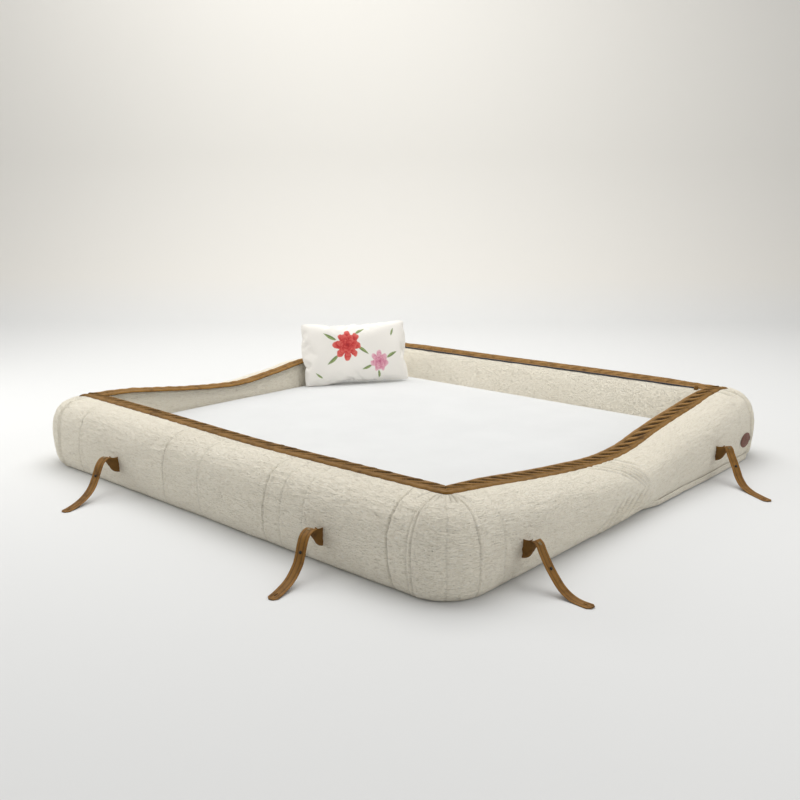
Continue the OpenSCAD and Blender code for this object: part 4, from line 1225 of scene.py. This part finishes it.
def pillow_print(x, y, front):
    """Colours of the pillow at columns of places: cream cotton, with a generic spray of garden flowers
    on its front."""
    cotton = np.array([0.92, 0.895, 0.845])
    color = cotton + 0.012 * noise(x * 12, y * 12, 90)
    red = np.array([(0.33, 0.010, 0.014), (0.62, 0.035, 0.035), (0.80, 0.20, 0.16)])
    pink = np.array([(0.50, 0.10, 0.20), (0.72, 0.27, 0.38), (0.86, 0.60, 0.66)])
    green, pale = np.array([0.10, 0.17, 0.045]), np.array([0.33, 0.42, 0.16])
    leaves = [((-0.165, 0.09), 0.044, 150), ((0.03, 0.01), 0.042, -35), ((-0.155, -0.035), 0.044, 215),
              ((0.02, 0.12), 0.040, 30), ((0.125, -0.135), 0.036, -80), ((0.205, -0.02), 0.040, 25),
              ((0.045, -0.085), 0.036, 200), ((0.225, 0.105), 0.028, 60), ((-0.245, -0.115), 0.028, 140)]
    for k, (centre, length, degrees) in enumerate(leaves):
        paint_leaf(color, x, y, centre, length, degrees, green, pale, 91 + k)
    paint_flower(color, x, y, (-0.065, 0.04), 0.086, *red, 8, 101)
    paint_flower(color, x, y, (0.125, -0.055), 0.060, *pink, 7, 103)
    color[~front] = cotton
    return np.clip(color, 0, 1)


def build_pillow():
    """Loose pillow, blown up from two flat panels by a cloth simulation."""
    flat_w, flat_h = PILLOW_W * 1.085, PILLOW_H * 1.03
    columns, rows = ((68, 40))
    us = np.linspace(-1, 1, columns)[:, None]
    vs = np.linspace(-1, 1, rows)[None, :]
    x = us * flat_w / 2 * (1 + 0.07 * (1 - vs**2))
    z = vs * flat_h / 2 * (1 + 0.20 * (1 - us**2))
    depth = 0.012 * (1 - us**4) * (1 - vs**4) + 0.0005
    points = np.stack([lay(x, -depth, z), lay(x, depth, z)])
    faces = np.concatenate([grid_faces(columns, rows, flip=True),
                            grid_faces(columns, rows, start=x.size), rim_faces(columns, rows)])
    pillow = mesh_object("loose_pillow", points, faces, PRINT, points[..., [0, 2]])
    side = pillow.data.attributes.new("front", "FLOAT", "POINT")
    side.data.foreach_set("value", np.repeat([1, 0], x.size).astype(np.float32))
    tidy_normals(pillow)
    inflate(pillow, pressure=2.2, frames=18)
    subdivide(pillow, 2)
    mesh = pillow.data
    place = np.zeros((len(mesh.vertices), 2))
    place[read(mesh.loops, "vertex_index", np.int32)[:, 0]] = read(mesh.uv_layers[0].data, "uv", width=2)
    front = read(mesh.attributes["front"].data, "value")[:, 0] > 0.5
    paint(pillow, pillow_print(place[:, :1], place[:, 1:], front), "print")
    seat_pillow(pillow)
    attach(pillow, "pillow_body")
    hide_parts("pillow")


def inflate(obj, pressure, frames):
    """Blows a closed cloth up for some frames and keeps the result."""
    scene = bpy.context.scene
    cloth = obj.modifiers.new("cloth", "CLOTH")
    for key, value in (("quality", 6), ("mass", 0.2), ("tension_stiffness", 18),
                       ("compression_stiffness", 12), ("shear_stiffness", 6), ("bending_stiffness", 0.9),
                       ("use_pressure", True), ("uniform_pressure_force", pressure)):
        setattr(cloth.settings, key, value)
    cloth.settings.effector_weights.gravity = 0
    cloth.point_cache.frame_start = 1
    cloth.point_cache.frame_end = frames
    for number in range(1, frames + 1):
        scene.frame_set(number)
    apply_modifiers(obj)
    scene.frame_set(1)


def subdivide(obj, levels):
    modifier = obj.modifiers.new("subdivision", "SUBSURF")
    modifier.levels = levels
    modifier.render_levels = levels
    apply_modifiers(obj)


def seat_pillow(pillow):
    """Fits the pillow to its real size, leans it back and stands it on the mattress."""
    mesh = pillow.data
    points = read(mesh.vertices, "co", width=3).astype(float)
    low, high = points.min(0), points.max(0)
    points -= (low + high) / 2
    points[:, 0] *= PILLOW_W / (high[0] - low[0])
    points[:, 2] *= PILLOW_H / (high[2] - low[2])
    points[:, 1] *= min(1, PILLOW_DEEP / (high[1] - low[1]))
    points[:, 2] += PILLOW_H / 2
    points[:, 2] += smoothstep(0.045, 0, points[:, 2]) * 0.004
    mesh.vertices.foreach_set("co", points.astype(np.float32).ravel())
    mesh.transform(Matrix.Rotation(math.radians(PILLOW_TURN), 4, "Z")
                   @ Matrix.Rotation(math.radians(-PILLOW_LEAN), 4, "X"))
    lowest = min(v.co.z for v in mesh.vertices)
    mesh.transform(Matrix.Translation((*PILLOW_AT, MATTRESS_TOP - PILLOW_SINK - lowest)))
    mesh.update()


# Studio

CAMERA_AT = Vector((2.682, -3.056, 1.175))
CAMERA_TO = Vector((-0.813, 0.854, 0.0))
FOCAL_PIXELS = 914
IMAGE_PIXELS = 800
WORLD_STRENGTH = 0.45


def aimed(name, data, at, to):
    """A camera or a light at one place, looking at another."""
    obj = add_object(name, data)
    obj.location = at
    obj.rotation_euler = (Vector(to) - Vector(at)).to_track_quat("-Z", "Y").to_euler()
    return obj


def build_camera():
    camera = bpy.data.cameras.new("photo_camera")
    camera.sensor_width = 36
    camera.lens = FOCAL_PIXELS / IMAGE_PIXELS * camera.sensor_width
    camera.clip_end = 60
    bpy.context.scene.camera = aimed("photo_camera", camera, CAMERA_AT, CAMERA_TO)


def area_light(name, at, to, size, power, color):
    light = bpy.data.lights.new(name, "AREA")
    light.shape = "RECTANGLE"
    light.size, light.size_y = size
    light.energy = power
    light.color = color
    aimed(name, light, at, to)


def build_stage():
    """A seamless sweep of paper, square to the photograph's view and cooler low down, with its light."""
    view = CAMERA_TO - CAMERA_AT
    angle = math.atan2(view.y, view.x)
    c, s = math.cos(angle), math.sin(angle)
    back, radius, tall = 4.4, 1.6, 6.0
    route = [(-9.0, 0.0), (back, 0.0)]
    route += [(back + radius * math.sin(a), radius - radius * math.cos(a))
              for a in np.linspace(0, math.pi / 2, 24)[1:]]
    route.append((back + radius, tall))
    wide = np.linspace(-12, 12, 9)
    points = [(u * c - w * s, u * s + w * c, z) for u, z in route for w in wide]
    low, high = (0.74, 0.75, 0.755), (0.775, 0.762, 0.728)
    paper = Surface("studio_paper", low, 0.9, Specular_IOR_Level=0.1)
    position = paper.node("ShaderNodeNewGeometry").outputs["Position"]
    height = paper.node("ShaderNodeSeparateXYZ", {"Vector": position}).outputs["Z"]
    paper.link("Base Color", paper.ramp(height, (0.0, low), (0.35, high)))
    mesh_object("paper_sweep", points, grid_faces(len(route), len(wide), flip=True),
                         paper.material)
    world = bpy.data.worlds.new("studio")
    world.use_nodes = True
    background = world.node_tree.nodes["Background"].inputs
    background["Color"].default_value = (1, 0.99, 0.975, 1)
    background["Strength"].default_value = WORLD_STRENGTH
    bpy.context.scene.world = world
    area_light("overhead", (-0.5, 0.5, 5.4), (-0.1, 0.1, 0), (5, 5), 222, (1, 0.985, 0.96))
    area_light("left_window", (-3.0, -2.4, 1.8), (-0.8, -0.8, 0.1), (2, 1.8), 31, (1, 0.985, 0.95))
    area_light("right_fill", (4.9, 0.6, 2.1), (1.0, 0.2, 0.1), (3, 2.5), 34, (1, 0.98, 0.96))
    area_light("wall_light", (c * 3.0 - 0.9, s * 3.0 - 0.8, 5.6), (c * 6.0 - 0.4, s * 6.0 - 0.35, 2.6),
               (5, 1.5), 112, (1, 0.985, 0.955))


bpy.context.scene.view_settings.view_transform = "Standard"
build_camera()
assign_cad_materials()
build_stage()
border_cover = build_cover()
build_linings()
build_mattress()
build_sheet()
for edge_side in SIDE_ORDER:
    build_edging(edge_side)
for strap_joint in STRAP_JOINTS:
    build_strap(strap_joint)
build_oval(border_cover)
build_hem(border_cover)
build_gussets()
build_zip()
build_pillow()
